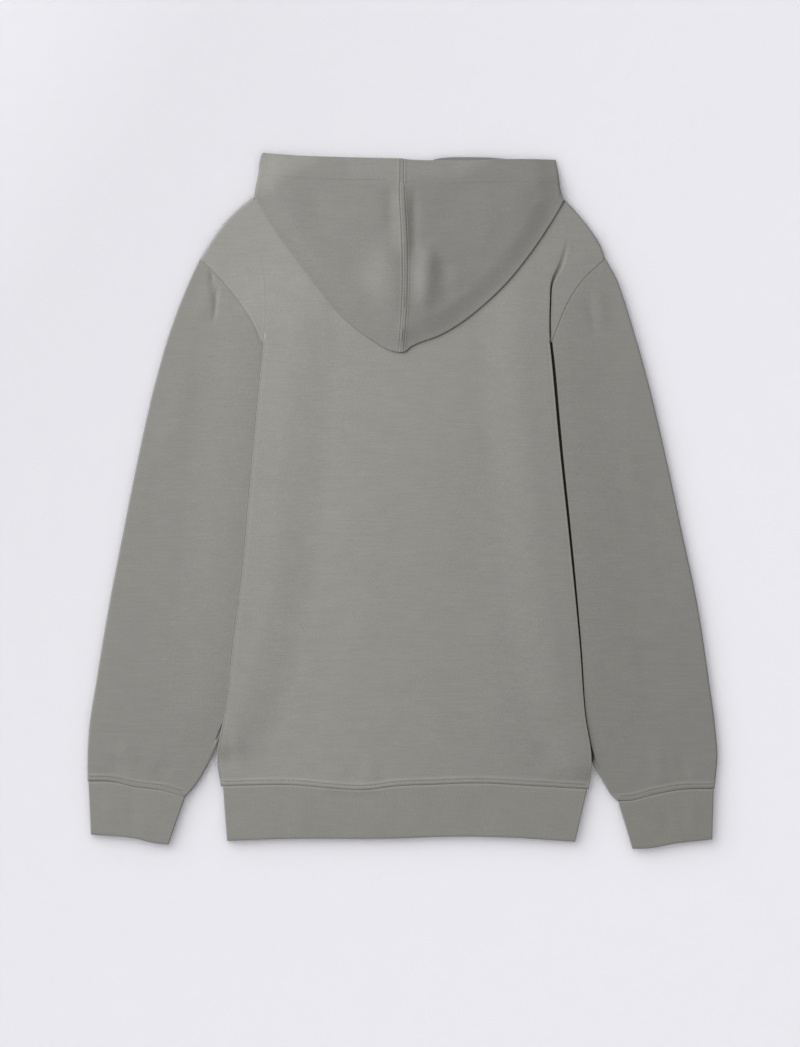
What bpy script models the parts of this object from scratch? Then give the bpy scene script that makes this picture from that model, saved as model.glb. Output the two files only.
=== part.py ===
"""Pullover hoodie laid out flat with its back up.

The body is a flattened tube of a back and a front panel. The inner edge of each sleeve is tucked
under the body's side, where the back panel folds over it, turns back beneath itself and meets the
front panel. The hood is two mirrored halves, laid on the back with its face opening at the top.
Hem and cuffs are rib tubes folded double.

Tables and functions are in millimetres and the meshes in metres. X runs across the garment, Y up
it towards the hood, and Z out of its back. A height called "mid" is of the middle of a wall.
"""

import math

import bmesh
import bpy
import numpy as np

MM = 0.001
MIDDLE = (-0.15, 0.9, 0)  # middle of the garment, on the surface
OUTWARD = {"left": -1, "right": 1}

# Cloth
CLOTH = 2.0  # brushed sweatshirt jersey
HALF = CLOTH / 2
RIB_CLOTH = 3.0  # rib folded double
SEAM = 0.3  # between two pieces
RIB_PITCH = 2.7
RIB_RISE = 0.3

# Layers, from the surface up
LAYER = CLOTH + SEAM
FRONT_MID = HALF
AIR = 0.8  # inside the flattened tubes
NOSE_MID = FRONT_MID + LAYER + AIR  # the sleeve's upper wall where it is tucked in
RETURN_MID = NOSE_MID + LAYER  # the back panel turned back beneath its own fold
LIP_MID = RETURN_MID + LAYER  # the back panel's fold over the sleeve
BACK_MID = NOSE_MID + 0.6  # the back panel and the sleeves elsewhere
STAND_MID = CLOTH + SEAM + 0.05  # the end of a wall that stands on the front panel
RIB_LOW_MID = RIB_CLOTH / 2
RIB_TOP_MID = RIB_LOW_MID + RIB_CLOTH + AIR
SEAM_ROLL = 0.9  # rise of the cloth along the hem and cuff seams
SEAM_ROLL_WIDTH = 5.0

# The body's side folds, (height, across), from the hem seam past the armhole to the shoulder
FOLD = {
    "left": [
        (-313, -199.5), (-284, -203.5), (-265, -201.6), (-228, -194.3), (-152, -185.8),
        (-75, -175.9), (24, -167.1), (106, -159.4), (173, -152.8), (207, -150.0),
        (241, -150.0), (268, -154.4), (300, -160.5), (335, -163.2),
    ],
    "right": [
        (-316, 204.5), (-300, 207.0), (-285, 207.8), (-235, 200.8), (-162, 195.2),
        (-38, 183.1), (66, 172.1), (151, 164.4), (183, 161.3), (218, 161.7),
        (241, 163.0), (266, 172.8), (291, 179.0), (332, 177.6),
    ],
}
# How far the sleeve's inner edge is tucked inside the fold, (height, depth)
TUCK = {
    "left": [(-264, 0), (-230, 7), (-190, 15), (-140, 21), (0, 25), (150, 24)],
    "right": [(-286, 0), (-250, 7), (-205, 15), (-150, 21), (0, 25), (152, 24)],
}
SPLIT = {"left": -264, "right": -286}  # height at which the sleeve leaves the body
SPLIT_RUN = 24  # over which the fold settles below the split
SETTLED = {"left": 275, "right": 335}  # height at which the fold has settled, above the armhole
GROOVE = {"left": 1.6, "right": 3.6}  # from the fold out to the top of the sleeve beside it
GROOVE_WALL = [(0.5, 0.7), (1.0, 0.22), (1.6, 0)]  # (run, share of height left) down into the groove
RIDGE = {"left": 3.8, "right": 2.4}  # rise of the sleeve beside the groove
CREASE = {"left": 0.2, "right": 2.6}  # depth of the groove where it runs on above the armhole
CREASE_WIDTH = {"left": 6.0, "right": 3.6}
CREASE_END = {"left": 262, "right": 290}  # height at which the crease has faded
FREE_RUN = (16, 4)  # mm below the split over which the sleeve's inner edge rises to its full height

# Armhole seam from the shoulder point to the fold, as (across, height)
ARMHOLE = {
    "left": [
        (-222.6, 266.0), (-206.0, 251.5), (-186.0, 228.3), (-174.0, 212.5), (-161.0, 189.8), (-155.2, 174.0),
    ],
    "right": [
        (222.9, 266.5), (198.7, 243.7), (185.5, 225.0), (176.7, 207.4), (168.7, 187.0), (163.8, 175.0),
    ],
}
UNDERARM = {"left": (-129.4, 150.0), "right": (139.1, 152.0)}
FOOT_CLEAR = 1.2  # extra room between the back panel and the sleeve where the armhole meets the fold
UNDER_FLOOR = HALF + 0.05  # mid height of hood cloth that lies on the surface
UNDERARM_EASE = 5  # the back panel's turned edge keeps its depth this far above the underarm
SHOULDER = {
    "left": [
        (-222.6, 266.0), (-213.6, 280.0), (-202.0, 297.6), (-187.0, 315.2), (-163.2, 335.0), (-94.0, 367.0),
    ],
    "right": [
        (222.9, 266.5), (218.5, 280.0), (207.5, 297.6), (193.6, 315.2), (177.6, 332.0), (95.0, 367.0),
    ],
}
BACK_NECK = [(-94.0, 367.0), (-60.0, 350.0), (0.7, 342.7), (60.0, 350.0), (95.0, 367.0)]
FRONT_NECK = [
    (-94.0, 367.0), (-85.0, 315.0), (-55.0, 279.0), (0.7, 263.5),
    (56.0, 279.0), (86.0, 315.0), (95.0, 367.0),
]

# Sleeve edges, (height, across)
SLEEVE_OUTER = {
    "left": [
        (-307, -345.8), (-284, -345.8), (-251, -344.2), (-196, -335.9), (-114, -322.2), (-31, -306.2),
        (51, -289.7), (134, -270.6), (192, -253.4), (227, -240.2), (245, -232.5), (266, -222.6),
    ],
    "right": [
        (-315, 342.8), (-278, 346.0), (-251, 343.9), (-196, 336.6), (-114, 324.1), (-31, 306.5),
        (51, 288.9), (134, 269.1), (192, 252.6), (227, 241.6), (245, 235.0), (266.5, 222.9),
    ],
}
SLEEVE_INNER_END = {
    "left": [(-324, -238.0), (-311, -226.6), (-291, -214.5), (-278, -207.9), (-264, -202.2)],
    "right": [(-328.4, 236.1), (-324, 231.2), (-311, 222.6), (-298, 214.8), (-286, 208.8)],
}

# Rib bands, as (across, height)
HEM_SEAM = [
    (-199.5, -312.6), (-117.0, -311.7), (-72.0, -315.6), (-45.0, -317.0), (-5.0, -312.6),
    (34.0, -311.0), (85.0, -309.5), (145.0, -312.6), (204.5, -316.0),
]
HEM_EDGE = [
    (-192.9, -372.9), (-138.0, -370.8), (-12.5, -370.2),
    (63.4, -368.0), (123.0, -369.5), (189.9, -373.9),
]
CUFF_SEAM = {
    "left": [(-345.8, -307.0), (-320.0, -307.5), (-293.0, -313.0), (-262.0, -317.0), (-238.0, -324.0)],
    "right": [(342.8, -315.2), (306.0, -316.2), (273.5, -322.0), (250.0, -328.0), (236.1, -328.4)],
}
CUFF_EDGE = {
    "left": [(-342.5, -365.8), (-327.0, -366.9), (-293.0, -370.2), (-276.0, -374.6), (-257.0, -377.0)],
    "right": [(340.6, -371.3), (301.0, -375.7), (269.0, -381.2), (252.6, -381.5)],
}
BAND_FOLD = 0.02  # share of a band's height taken by its rounded edge
CUFF_IN = 3.5  # the cuff is this much narrower than the sleeve at each end of its seam

# Hood, as (across, height) from the centre seam outwards, and its side folds upwards
CENTRE_SEAM = [  # (height, across)
    (163, -1.5), (215, 2.2), (255, 3.0), (300, 1.8), (343, -0.4), (379, -0.4),
]
HOOD_LOW = {
    "left": [
        (-1.5, 163.4), (-8.0, 164.2), (-37.8, 179.9), (-63.1, 199.7), (-88.4, 229.4),
        (-113.7, 262.4), (-137.9, 295.4), (-162.8, 335.6),
    ],
    "right": [
        (-1.5, 163.4), (12.8, 170.0), (38.1, 181.0), (63.4, 195.3), (88.7, 215.1),
        (114.0, 239.3), (138.2, 269.0), (163.5, 306.4), (177.6, 330.0),
    ],
}
HOOD_SIDE = {
    "left": [(-162.8, 335.6), (-161.5, 345.0), (-158.5, 360.0), (-157.0, 374.0), (-154.4, 383.4)],
    "right": [(177.6, 330.0), (174.0, 342.7), (171.2, 362.5), (168.5, 375.7)],
}
HOOD_TOP = {
    "left": [(-0.4, 376.8), (-57.6, 377.9), (-112.6, 379.5), (-154.4, 383.4)],
    "right": [
        (-0.4, 376.6), (8.0, 375.4), (20.0, 374.8), (50.0, 374.4), (90.0, 374.4),
        (108.0, 375.4), (130.0, 375.8), (168.5, 375.7),
    ],
}
# The rim's hidden half: from the top corner to beside the neck, and on to the front of the neck
RIM_OUTER = {
    "left": [(-154.4, 383.4), (-120.0, 379.0), (-94.0, 377.5)],
    "right": [(168.5, 375.7), (130.0, 375.4), (112.0, 376.8), (95.0, 378.2)],
}
RIM_INNER = {
    "left": [(-94.0, 377.5), (-55.0, 352.0), (-25.0, 308.0), (0.0, 268.5)],
    "right": [
        (95.0, 378.2), (70.0, 378.6), (50.0, 378.2), (36.0, 376.4), (24.0, 370.0),
        (12.0, 345.0), (4.5, 305.0), (1.4, 268.5),
    ],
}
HOOD_COLUMNS = [0, 0.016, 0.04, 0.08, 0.13, 0.2, 0.3, 0.42, 0.56, 0.7, 0.85, 1]  # shares of its width
SIDE_STEPS = [0, 0.05, 0.11, 0.18, 0.32, 0.5, 0.7, 0.86, 1]  # shares of the side fold's length
NECK_PAST = [0, 2, 4, 6, 7, 8, 8.8, 9.6, 10.5]  # mm past the side of the neck, for the same rows
HOOD_LAYER = LAYER + 0.1
HOOD_LOFT = 0.8
INNER_SETTLE = (1.0, 7.5)  # mm past the body's top over which the hood's inner wall comes down
OUTER_SETTLE = (1.5, 24.0)
CENTRE_GAP = 0.3  # on each side of the centre seam
CENTRE_RIDGE = {"rise": 1.6, "width": 8.0}  # round the centre seam
HOOD_TROUGH = {"across": 12.5, "width": 5.0, "depth": 1.2}  # beside it, on the right
RIDGE_RUN = (260, 286, 322, 354)  # heights between which ridge and trough rise, and fall again

# Counts of steps
BODY_ROWS = 16
ARMHOLE_STEPS = 7
SHOULDER_STEPS = 3
NECK_STEPS = 10
PANEL_STEPS = 2 * SHOULDER_STEPS + NECK_STEPS
CUFF_STEPS = 8
SLEEVE_ROWS = 15
HOOD_UNDER_ROWS = 5
FRONT_HOLD = 6
THROAT_STEPS = [0.14, 0.28, 0.46, 0.64, 0.82, 1]  # shares of the front neckline's half


def smooth(rows, at):
    """Values on the smooth curve through a table of (place, value) rows, in rising order."""
    places, values = np.array(rows, float).T
    slopes = np.gradient(values, places)
    at = np.clip(at, places[0], places[-1])
    i = np.clip(np.searchsorted(places, at, side="right") - 1, 0, len(places) - 2)
    span = places[i + 1] - places[i]
    t = (at - places[i]) / span
    ends = values[i] * (1 + 2 * t) * (1 - t) ** 2 + values[i + 1] * t * t * (3 - 2 * t)
    return ends + span * t * (1 - t) * (slopes[i] * (1 - t) - slopes[i + 1] * t)


def along(points, fractions):
    """Points at fractions of the length of the smooth path through a few plan points."""
    points = np.array(points, float)
    length = np.concatenate([[0], np.cumsum(np.hypot(*np.diff(points, axis=0).T))])
    at = np.asarray(fractions, float) * length[-1]
    return np.stack([smooth(np.stack([length, axis], 1), at) for axis in points.T], axis=-1)


def ease(value, start, end):
    """0 up to the start, 1 from the end, and a smooth step between."""
    t = np.clip((value - start) / (end - start), 0, 1)
    return t * t * (3 - 2 * t)


def close_at_ends(steps):
    """Fractions from 0 to 1 that crowd together at both ends."""
    return (1 - np.cos(np.linspace(0, math.pi, steps + 1))) / 2


def even(steps):
    return np.linspace(0, 1, steps + 1)


def on_line(points, fractions):
    """Points at fractions of the length of the straight-sided line through plan points."""
    points = np.asarray(points, float)
    length = np.concatenate([[0], np.cumsum(np.hypot(*np.diff(points, axis=0).T))])
    return np.stack([np.interp(fractions, length / length[-1], axis) for axis in points.T], axis=-1)


def beside(points, distance):
    """A plan path moved to its left, seen along its run, or to its right for a negative distance."""
    step = np.gradient(np.asarray(points, float), axis=0)
    step /= np.hypot(step[:, :1], step[:, 1:])
    return points + distance * np.stack([-step[:, 1], step[:, 0]], axis=1)


def patch(bottom, top, left, right, columns=None, hold=1):
    """A grid of points between four edges, rows from bottom to top, at even or given columns.

    A hold above 1 keeps the shape of the top edge close to it.
    """
    u = np.array(even(len(bottom) - 1) if columns is None else columns)[None, :, None]
    v = even(len(left) - 1)[:, None, None] ** hold
    across = (1 - u) * left[:, None] + u * right[:, None]
    up = (1 - v) * bottom[None] + v * top[None]
    corners = (1 - v) * ((1 - u) * bottom[0] + u * bottom[-1]) + v * ((1 - u) * top[0] + u * top[-1])
    return across + up - corners


def with_height(plan, height):
    """Plan points with a third column, their height."""
    height = np.broadcast_to(height, plan.shape[:-1])
    return np.concatenate([plan, height[..., None]], axis=-1)


def grid_faces(rows, columns, closed=False):
    """Quads between the points of a grid, joined round its columns when closed."""
    turn = columns if closed else columns - 1
    faces = []
    for row in range(0, (rows - 1) * columns, columns):
        for c in range(turn):
            d = (c + 1) % columns
            faces.append((row + c, row + d, row + columns + d, row + columns + c))
    return faces


def add_object(name, points, faces, material):
    """A mesh object from points in millimetres."""
    work = bmesh.new()
    corners = [work.verts.new((np.asarray(point) - MIDDLE) * MM) for point in points]
    for face in faces:
        work.faces.new([corners[i] for i in face])
    bmesh.ops.remove_doubles(work, verts=work.verts, dist=0.01 * MM)
    bmesh.ops.recalc_face_normals(work, faces=work.faces)
    mesh = bpy.data.meshes.new(name)
    work.to_mesh(mesh)
    work.free()
    mesh.shade_smooth()
    mesh.materials.append(material)
    made = bpy.data.objects.new(name, mesh)
    bpy.context.scene.collection.objects.link(made)
    return made


def add_cloth(name, grids, material, closed=False):
    """A wall of cloth on one or more grids of mid points that share their edges."""
    points, faces = [], []
    for grid in grids:
        rows, columns = grid.shape[:2]
        faces += [tuple(i + len(points) for i in face) for face in grid_faces(rows, columns, closed)]
        points += list(grid.reshape(-1, 3))
    made = add_object(name, points, faces, material)
    wall = made.modifiers.new("wall", "SOLIDIFY")
    wall.thickness = CLOTH * MM
    wall.offset = 0
    return made


def fabric(name, colour, roughness):
    """A plain cloth material."""
    made = bpy.data.materials.new(name)
    made.use_nodes = True
    shader = made.node_tree.nodes["Principled BSDF"]
    shader.inputs["Base Color"].default_value = (*colour, 1)
    shader.inputs["Roughness"].default_value = roughness
    return made


# The lie of the cloth


def fold_at(side, height):
    return smooth(FOLD[side], height)


def tuck_at(side, height):
    return np.maximum(smooth(TUCK[side], height), 0)


def armhole_foot(side):
    return ARMHOLE[side][-1][1]


def fold_rise(side, height):
    """How much of its full rise the body's fold has, from 0 to 1."""
    settled = ease(height, SPLIT[side] - SPLIT_RUN, SPLIT[side])
    return settled * (1 - ease(height, armhole_foot(side) + 8, SETTLED[side]))


def ridge_rise(side, height):
    """How much of its full rise the sleeve's ridge beside the fold has, from 0 to 1."""
    rise = ease(height, SPLIT[side] - 30, SPLIT[side] + 90)
    return rise * (1 - ease(height, armhole_foot(side) + 20, 330))


def upper_mid(plan):
    """Mid height of the back panel and, outside its folds, of the sleeves' upper walls."""
    x, y = plan[..., 0], plan[..., 1]
    height = np.full(x.shape, BACK_MID)
    for side, way in OUTWARD.items():
        inside = way * (fold_at(side, y) - x)
        tuck = tuck_at(side, y)
        over = fold_rise(side, y) * (LIP_MID - BACK_MID) * (1 - ease(inside, tuck + 4, tuck + 60))
        ridge = ridge_rise(side, y) * RIDGE[side] * (1 - ease(-inside, 6, 75))
        height += np.where(inside >= 0, over, ridge)
    return height


def seam_roll(distance):
    """Rise of the cloth at a distance from a band's seam."""
    return SEAM_ROLL * (1 - ease(distance, SEAM_ROLL_WIDTH * 0.8, SEAM_ROLL_WIDTH * 1.8))


# Body


def tucked_turn(depth):
    """(inset, height) where the back panel folds, runs back in over the sleeve and comes down."""
    radius = (LIP_MID - RETURN_MID) / 2
    depth = max(depth, HALF + radius)
    return np.array([
        (HALF + radius, LIP_MID),
        (HALF + 0.13 * radius, LIP_MID - 0.5 * radius),
        (HALF + 0.13 * radius, LIP_MID - 1.5 * radius),
        (HALF + radius, RETURN_MID),
        (depth + 0.6, RETURN_MID),
        (depth + 1.7, RETURN_MID - 0.7),
        (depth + 2.05, STAND_MID),
    ])


def open_turn(top):
    """(inset, height) where the back panel turns down at an edge to stand on the front panel."""
    return np.array([
        (HALF + 1.2, top),
        (HALF + 0.6, top - 0.1),
        (HALF + 0.25, top - 0.3),
        (HALF + 0.08, top - 0.55),
        (HALF, top - 0.75),
        (HALF, (top - 0.75 + STAND_MID) / 2),
        (HALF, STAND_MID),
    ])


def side_turn(side, height, top):
    """(inset, height) across the side fold at a height up the body."""
    settled = ease(height, SPLIT[side] - SPLIT_RUN, SPLIT[side])
    foot, arm = armhole_foot(side), UNDERARM[side][1]
    arm += UNDERARM_EASE
    depth = float(tuck_at(side, height)) * float(1 - np.clip((height - arm) / (foot - arm), 0, 1))
    return settled * tucked_turn(depth) + (1 - settled) * open_turn(top)


def body_heights(side):
    """Heights of the rows from the hem seam to the armhole's foot."""
    start = HEM_SEAM[0][1] if side == "left" else HEM_SEAM[-1][1]
    start += SEAM / 2
    return start + (armhole_foot(side) - 1.5 - start) * close_at_ends(BODY_ROWS)


def yoke_heights(side):
    """Heights of the fold's rows from the armhole's foot to the shoulder."""
    top = FOLD[side][-1][0]
    return armhole_foot(side) + 3 + (top - armhole_foot(side) - 3) * even(ARMHOLE_STEPS)


def side_strip(side):
    """Rows of points across one side of the back panel, from the fold outwards or round beneath."""
    way = OUTWARD[side]
    rows = []
    for height in body_heights(side):
        top = BACK_MID + float(seam_roll(height - body_heights(side)[0]))
        turn = side_turn(side, height, top)
        rows.append([(fold_at(side, height) - way * inset, height, z) for inset, z in turn])
    armhole = beside(along(ARMHOLE[side], even(ARMHOLE_STEPS)), -way * SEAM / 2)[::-1]
    armhole[0] += FOOT_CLEAR * np.array([-way, 1])
    shoulder = along(SHOULDER[side][:5], even(20))
    for i, height in enumerate(yoke_heights(side)):
        start = np.array([fold_at(side, height), height])
        end = armhole[i]
        rows.append(yoke_row(side, i / ARMHOLE_STEPS, start, end, shoulder))
    return np.array(rows)


def yoke_row(side, share, start, end, shoulder):
    """Points from the fold's crease out to the armhole seam, over the crease's groove."""
    width = np.hypot(*(end - start))
    groove = min(CREASE_WIDTH[side], 0.5 * width)
    places = np.array([0, 0.35 * groove, 0.75 * groove, groove, 0, 0, width])
    places[4:6] = groove + (width - groove) * np.array([0.33, 0.67])
    fractions = places / width
    plan = start + (end - start) * fractions[:, None]
    chord = shoulder[-1] + (shoulder[0] - shoulder[-1]) * fractions[:, None]
    bulge = along(shoulder[::-1], fractions) - chord
    plan = plan + share**2 * bulge
    height = upper_mid(plan)
    height[1:3] = height[0] + (height[3] - height[0]) * np.array([0.35, 0.75])
    depth = CREASE[side] * (1 - ease(start[1], armhole_foot(side) + 40, CREASE_END[side]))
    height[1:3] -= depth * np.array([0.8, 0.9])
    return with_height(plan, height)


def hem_line(gap):
    """Points along the hem seam, one for each column of the panels."""
    xs = HEM_SEAM[0][0] + (HEM_SEAM[-1][0] - HEM_SEAM[0][0]) * even(PANEL_STEPS)
    return np.stack([xs, smooth(HEM_SEAM, xs) + gap], axis=-1)


def back_grid():
    """Mid points of the back panel, rows from the hem seam to the shoulders and neck."""
    strips = {side: side_strip(side) for side in OUTWARD}
    left, right = strips["left"][:, 0, :2], strips["right"][:, 0, :2]
    bottom = hem_line(SEAM / 2)
    bottom[0], bottom[-1] = left[0], right[0]
    neck = along(BACK_NECK, even(NECK_STEPS))
    slopes = {side: along(SHOULDER[side][-2:], even(SHOULDER_STEPS)) for side in OUTWARD}
    top = np.concatenate([slopes["left"][:-1], neck, slopes["right"][-2::-1]])
    top[0], top[-1] = left[-1], right[-1]
    plan = patch(bottom, top, left, right)
    height = upper_mid(plan)
    height += seam_roll(plan[..., 1] - plan[0, :, 1])
    middle = with_height(plan, height)
    grid = np.concatenate([strips["left"][:, :0:-1], middle, strips["right"][:, 1:]], axis=1)
    return turn_down(grid, len(strips["left"][0]) - 1)


def turn_down(grid, strip):
    """The last row pulled in from the edge and two more rows, which turn down at the shoulders."""
    edge = grid[-1]
    turns = np.ones(len(edge))
    first_neck = strip + SHOULDER_STEPS + 1
    turns[first_neck : first_neck + NECK_STEPS - 1] = 0
    rows = []
    for inset, drop in ((HALF + 1.2, 0), (HALF + 0.3, 0.45), (HALF, None)):
        plan = beside(edge[:, :2], -inset)
        low = STAND_MID if drop is None else edge[:, 2] - drop
        rows.append(with_height(plan, edge[:, 2] + turns * (low - edge[:, 2])))
    return np.concatenate([grid[:-1], np.array(rows)])


def front_side(side):
    """Plan points up one side of the front panel, from the hem seam to the shoulder point."""
    way = OUTWARD[side]
    arm = UNDERARM[side]
    heights = body_heights(side)
    heights = heights[heights < arm[1] - 8]
    body = []
    for height in heights:
        inset, _ = side_turn(side, height, BACK_MID)[-1]
        body.append((fold_at(side, height) - way * (inset - HALF), height))
    corner = [(arm[0] - way * 1.5, arm[1] - 1.0)]
    hidden = [np.array(arm) + (np.array(ARMHOLE[side][-1]) - arm) * f for f in (0.0, 0.5)]
    armhole = along(ARMHOLE[side], even(ARMHOLE_STEPS))[::-1]
    seam = beside(np.concatenate([hidden, armhole]), way * SEAM / 2)
    return np.concatenate([body, corner, seam[1:]])


def front_grid():
    """Mid points of the front panel."""
    left, right = front_side("left"), front_side("right")
    bottom = hem_line(SEAM / 2)
    bottom[0], bottom[-1] = left[0], right[0]
    slopes = {side: along(SHOULDER[side], even(SHOULDER_STEPS)) for side in OUTWARD}
    neck = along(FRONT_NECK, even(NECK_STEPS))
    top = np.concatenate([slopes["left"][:-1], neck, slopes["right"][-2::-1]])
    top[0], top[-1] = left[-1], right[-1]
    return with_height(patch(bottom, top, left, right, hold=FRONT_HOLD), FRONT_MID)


# Sleeves


def sleeve_inner(side, height):
    """Across, of the sleeve's inner edge: tucked in beside the body, then free."""
    way = OUTWARD[side]
    tucked = fold_at(side, height) - way * tuck_at(side, height)
    return np.where(height > SPLIT[side], tucked, smooth(SLEEVE_INNER_END[side], height))


def inset_ends(path, first, last):
    """A row of plan points with its two ends pulled in along it."""
    path = path.copy()
    for end, near, inset in ((0, 1, first), (-1, -2, last)):
        run = path[near] - path[end]
        path[end] += run / np.hypot(*run) * inset
    return path


def sleeve_ring(side, outer, inner, roll):
    """Points round one section: over the top from the outer edge, and back along the bottom."""
    top = upper_mid(outer) + roll
    free = 1 - float(ease(inner[1], SPLIT[side] - FREE_RUN[0], SPLIT[side] - FREE_RUN[1]))
    end = NOSE_MID + free * (top[-1] - NOSE_MID)
    run = inner - outer[-1]
    length = np.hypot(*run)
    in_turn = (end - FRONT_MID) / 2
    reach = length - HALF - in_turn
    runs, shares = np.array(GROOVE_WALL).T
    places = np.minimum(runs, reach * np.array([0.2, 0.4, 0.6]))
    places = np.append(places, [(places[-1] + reach) / 2, reach])
    nose = outer[-1] + run / length * places[:, None]
    nose_top = end + (top[-1] - end) * np.append(shares, [0, 0])
    turn = (top[0] - FRONT_MID) / 2
    outer = inset_ends(outer, HALF + turn, 0)
    upper = np.concatenate([with_height(outer, top), with_height(nose, nose_top)])
    rings = [upper]
    out_run = (outer[1] - outer[0]) / np.hypot(*(outer[1] - outer[0]))
    for cosine in (0.5, -0.5):
        point = nose[-1] + run / length * in_turn * 0.87
        rings.append([(*point, FRONT_MID + in_turn * (1 + cosine))])
    lower = np.concatenate([outer, nose[[2, 4]]])[::-1]
    rings.append(with_height(lower, FRONT_MID))
    for cosine in (-0.5, 0.5):
        point = outer[0] - out_run * turn * 0.87
        rings.append([(*point, FRONT_MID + turn * (1 + cosine))])
    return np.concatenate(rings)


def cuff_line(side, gap):
    """Points along the cuff seam, one for each column of the sleeve."""
    return along(CUFF_SEAM[side], even(CUFF_STEPS)) + (0, gap)


def sleeve_grid(side):
    """Rings of mid points from the armhole to the cuff seam."""
    way = OUTWARD[side]
    steps = close_at_ends(SLEEVE_ROWS)
    seam = cuff_line(side, SEAM / 2)
    armhole = beside(along(ARMHOLE[side], even(ARMHOLE_STEPS)), way * SEAM / 2)
    arm = np.array(UNDERARM[side], float)
    outer_heights = armhole[0, 1] + (seam[0, 1] - armhole[0, 1]) * steps
    inner_heights = arm[1] + (seam[-1, 1] - arm[1]) * steps
    inner = np.stack([sleeve_inner(side, inner_heights), inner_heights], 1)
    outer = np.stack([smooth(SLEEVE_OUTER[side], outer_heights), outer_heights], 1)
    outer[0] = armhole[0]
    groove_heights = armhole[-1, 1] + (inner_heights[-1] - armhole[-1, 1]) * steps
    outside = way * (fold_at(side, groove_heights) + way * GROOVE[side])
    ending = way * (sleeve_inner(side, groove_heights) + way * 5)
    groove = np.stack([way * np.maximum(outside, ending), groove_heights], 1)
    groove[0] = armhole[-1]
    groove[-1], outer[-1] = seam[-2], seam[0]
    plan = patch(armhole, seam[:-1], outer, groove)
    roll = seam_roll(np.hypot(*(plan - plan[-1]).T).T)
    return np.array([sleeve_ring(side, *rows) for rows in zip(plan, inner, roll)])


# Hood


def centre_line(side, start, end, steps):
    """Plan points up one side of the centre seam."""
    heights = start + (end - start) * even(steps)
    return np.stack([smooth(CENTRE_SEAM, heights) + OUTWARD[side] * CENTRE_GAP, heights], axis=1)


def past_body(plan):
    """How far points lie above the body's shoulders and back neck."""
    line = SHOULDER["left"] + BACK_NECK[1:-1] + SHOULDER["right"][::-1]
    return plan[..., 1] - np.interp(plan[..., 0], *np.array(line).T)


def settled(plan, run):
    """Mid height of hood cloth on the body, coming down to the surface past the body's top."""
    high = upper_mid(plan) + HOOD_LAYER
    return high + (UNDER_FLOOR - high) * ease(past_body(plan), *run)


def hood_over(plan):
    """Mid height of the hood's outer wall."""
    x, y = plan[..., 0], plan[..., 1]
    low = np.where(x < 0, smooth(HOOD_LOW["left"][::-1], x), smooth(HOOD_LOW["right"], x))
    loft = HOOD_LOFT * ease(y - low, 4, 50) * (1 - ease(past_body(plan), 0, 30))
    window = ease(y, *RIDGE_RUN[:2]) * (1 - ease(y, *RIDGE_RUN[2:]))
    off = x - smooth(CENTRE_SEAM, y)
    ridge = CENTRE_RIDGE["rise"] * np.exp(-((off / CENTRE_RIDGE["width"]) ** 2))
    ridge -= HOOD_TROUGH["depth"] * np.exp(-(((x - HOOD_TROUGH["across"]) / HOOD_TROUGH["width"]) ** 2))
    return settled(plan, OUTER_SETTLE) + HOOD_LAYER + loft + window * ridge


def on_centre(side, height):
    """The plan point of one side of the centre seam at a height."""
    return centre_line(side, height, height, 0)[0]


def hood_outline(side):
    """Plan points along a half's folded edge, from the tip to the top corner."""
    low = along(HOOD_LOW[side], HOOD_COLUMNS)
    return np.concatenate([low, along(HOOD_SIDE[side], SIDE_STEPS)[1:]])


def inside_outline(side, depth):
    """The folded edge's points moved in from its outline."""
    moved = beside(hood_outline(side), OUTWARD[side] * depth)
    moved[0] = on_centre(side, hood_outline(side)[0, 1] + depth)
    moved[0, 0] += OUTWARD[side] * SEAM
    return moved


def outer_wall(side, edge):
    """The half that shows, from its folded edge to the rim."""
    low, fold = edge[: len(HOOD_COLUMNS)], edge[len(HOOD_COLUMNS) - 1 :]
    top = along(HOOD_TOP[side], HOOD_COLUMNS)
    top[0], top[-1] = on_centre(side, top[0, 1]), fold[-1]
    seam = centre_line(side, low[0, 1], top[0, 1], len(fold) - 1)
    plan = patch(low, top, seam, fold, HOOD_COLUMNS)
    return with_height(plan, hood_over(plan))


def inner_wall(side, edge, shoulder):
    """The hidden wall on the back, from the folded edge to the back of the neck."""
    low = edge[: len(HOOD_COLUMNS)]
    half = [point for point in BACK_NECK if OUTWARD[side] * (point[0] - BACK_NECK[2][0]) >= 0]
    neck = along(half if side == "right" else half[::-1], HOOD_COLUMNS)
    neck[0] = on_centre(side, neck[0, 1])
    seam = centre_line(side, low[0, 1], neck[0, 1], HOOD_UNDER_ROWS)
    plan = patch(low, neck, seam, shoulder, HOOD_COLUMNS)
    return with_height(plan, upper_mid(plan) + HOOD_LAYER)


def shoulder_wall(side, edge, shoulder):
    """The hidden wall past the shoulder, from the side fold to beside the neck."""
    neck_x, neck_y = SHOULDER[side][-1]
    rim = along(RIM_OUTER[side], even(HOOD_UNDER_ROWS))
    fold = edge[len(HOOD_COLUMNS) - 1 :]
    past = np.array(NECK_PAST) / NECK_PAST[-1] * (rim[-1, 1] - neck_y)
    beside_neck = np.stack([np.full(len(past), neck_x), neck_y + past], axis=1)
    rim[0] = fold[-1]
    plan = patch(shoulder, rim, fold, beside_neck)
    return with_height(plan, settled(plan, INNER_SETTLE))


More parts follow.
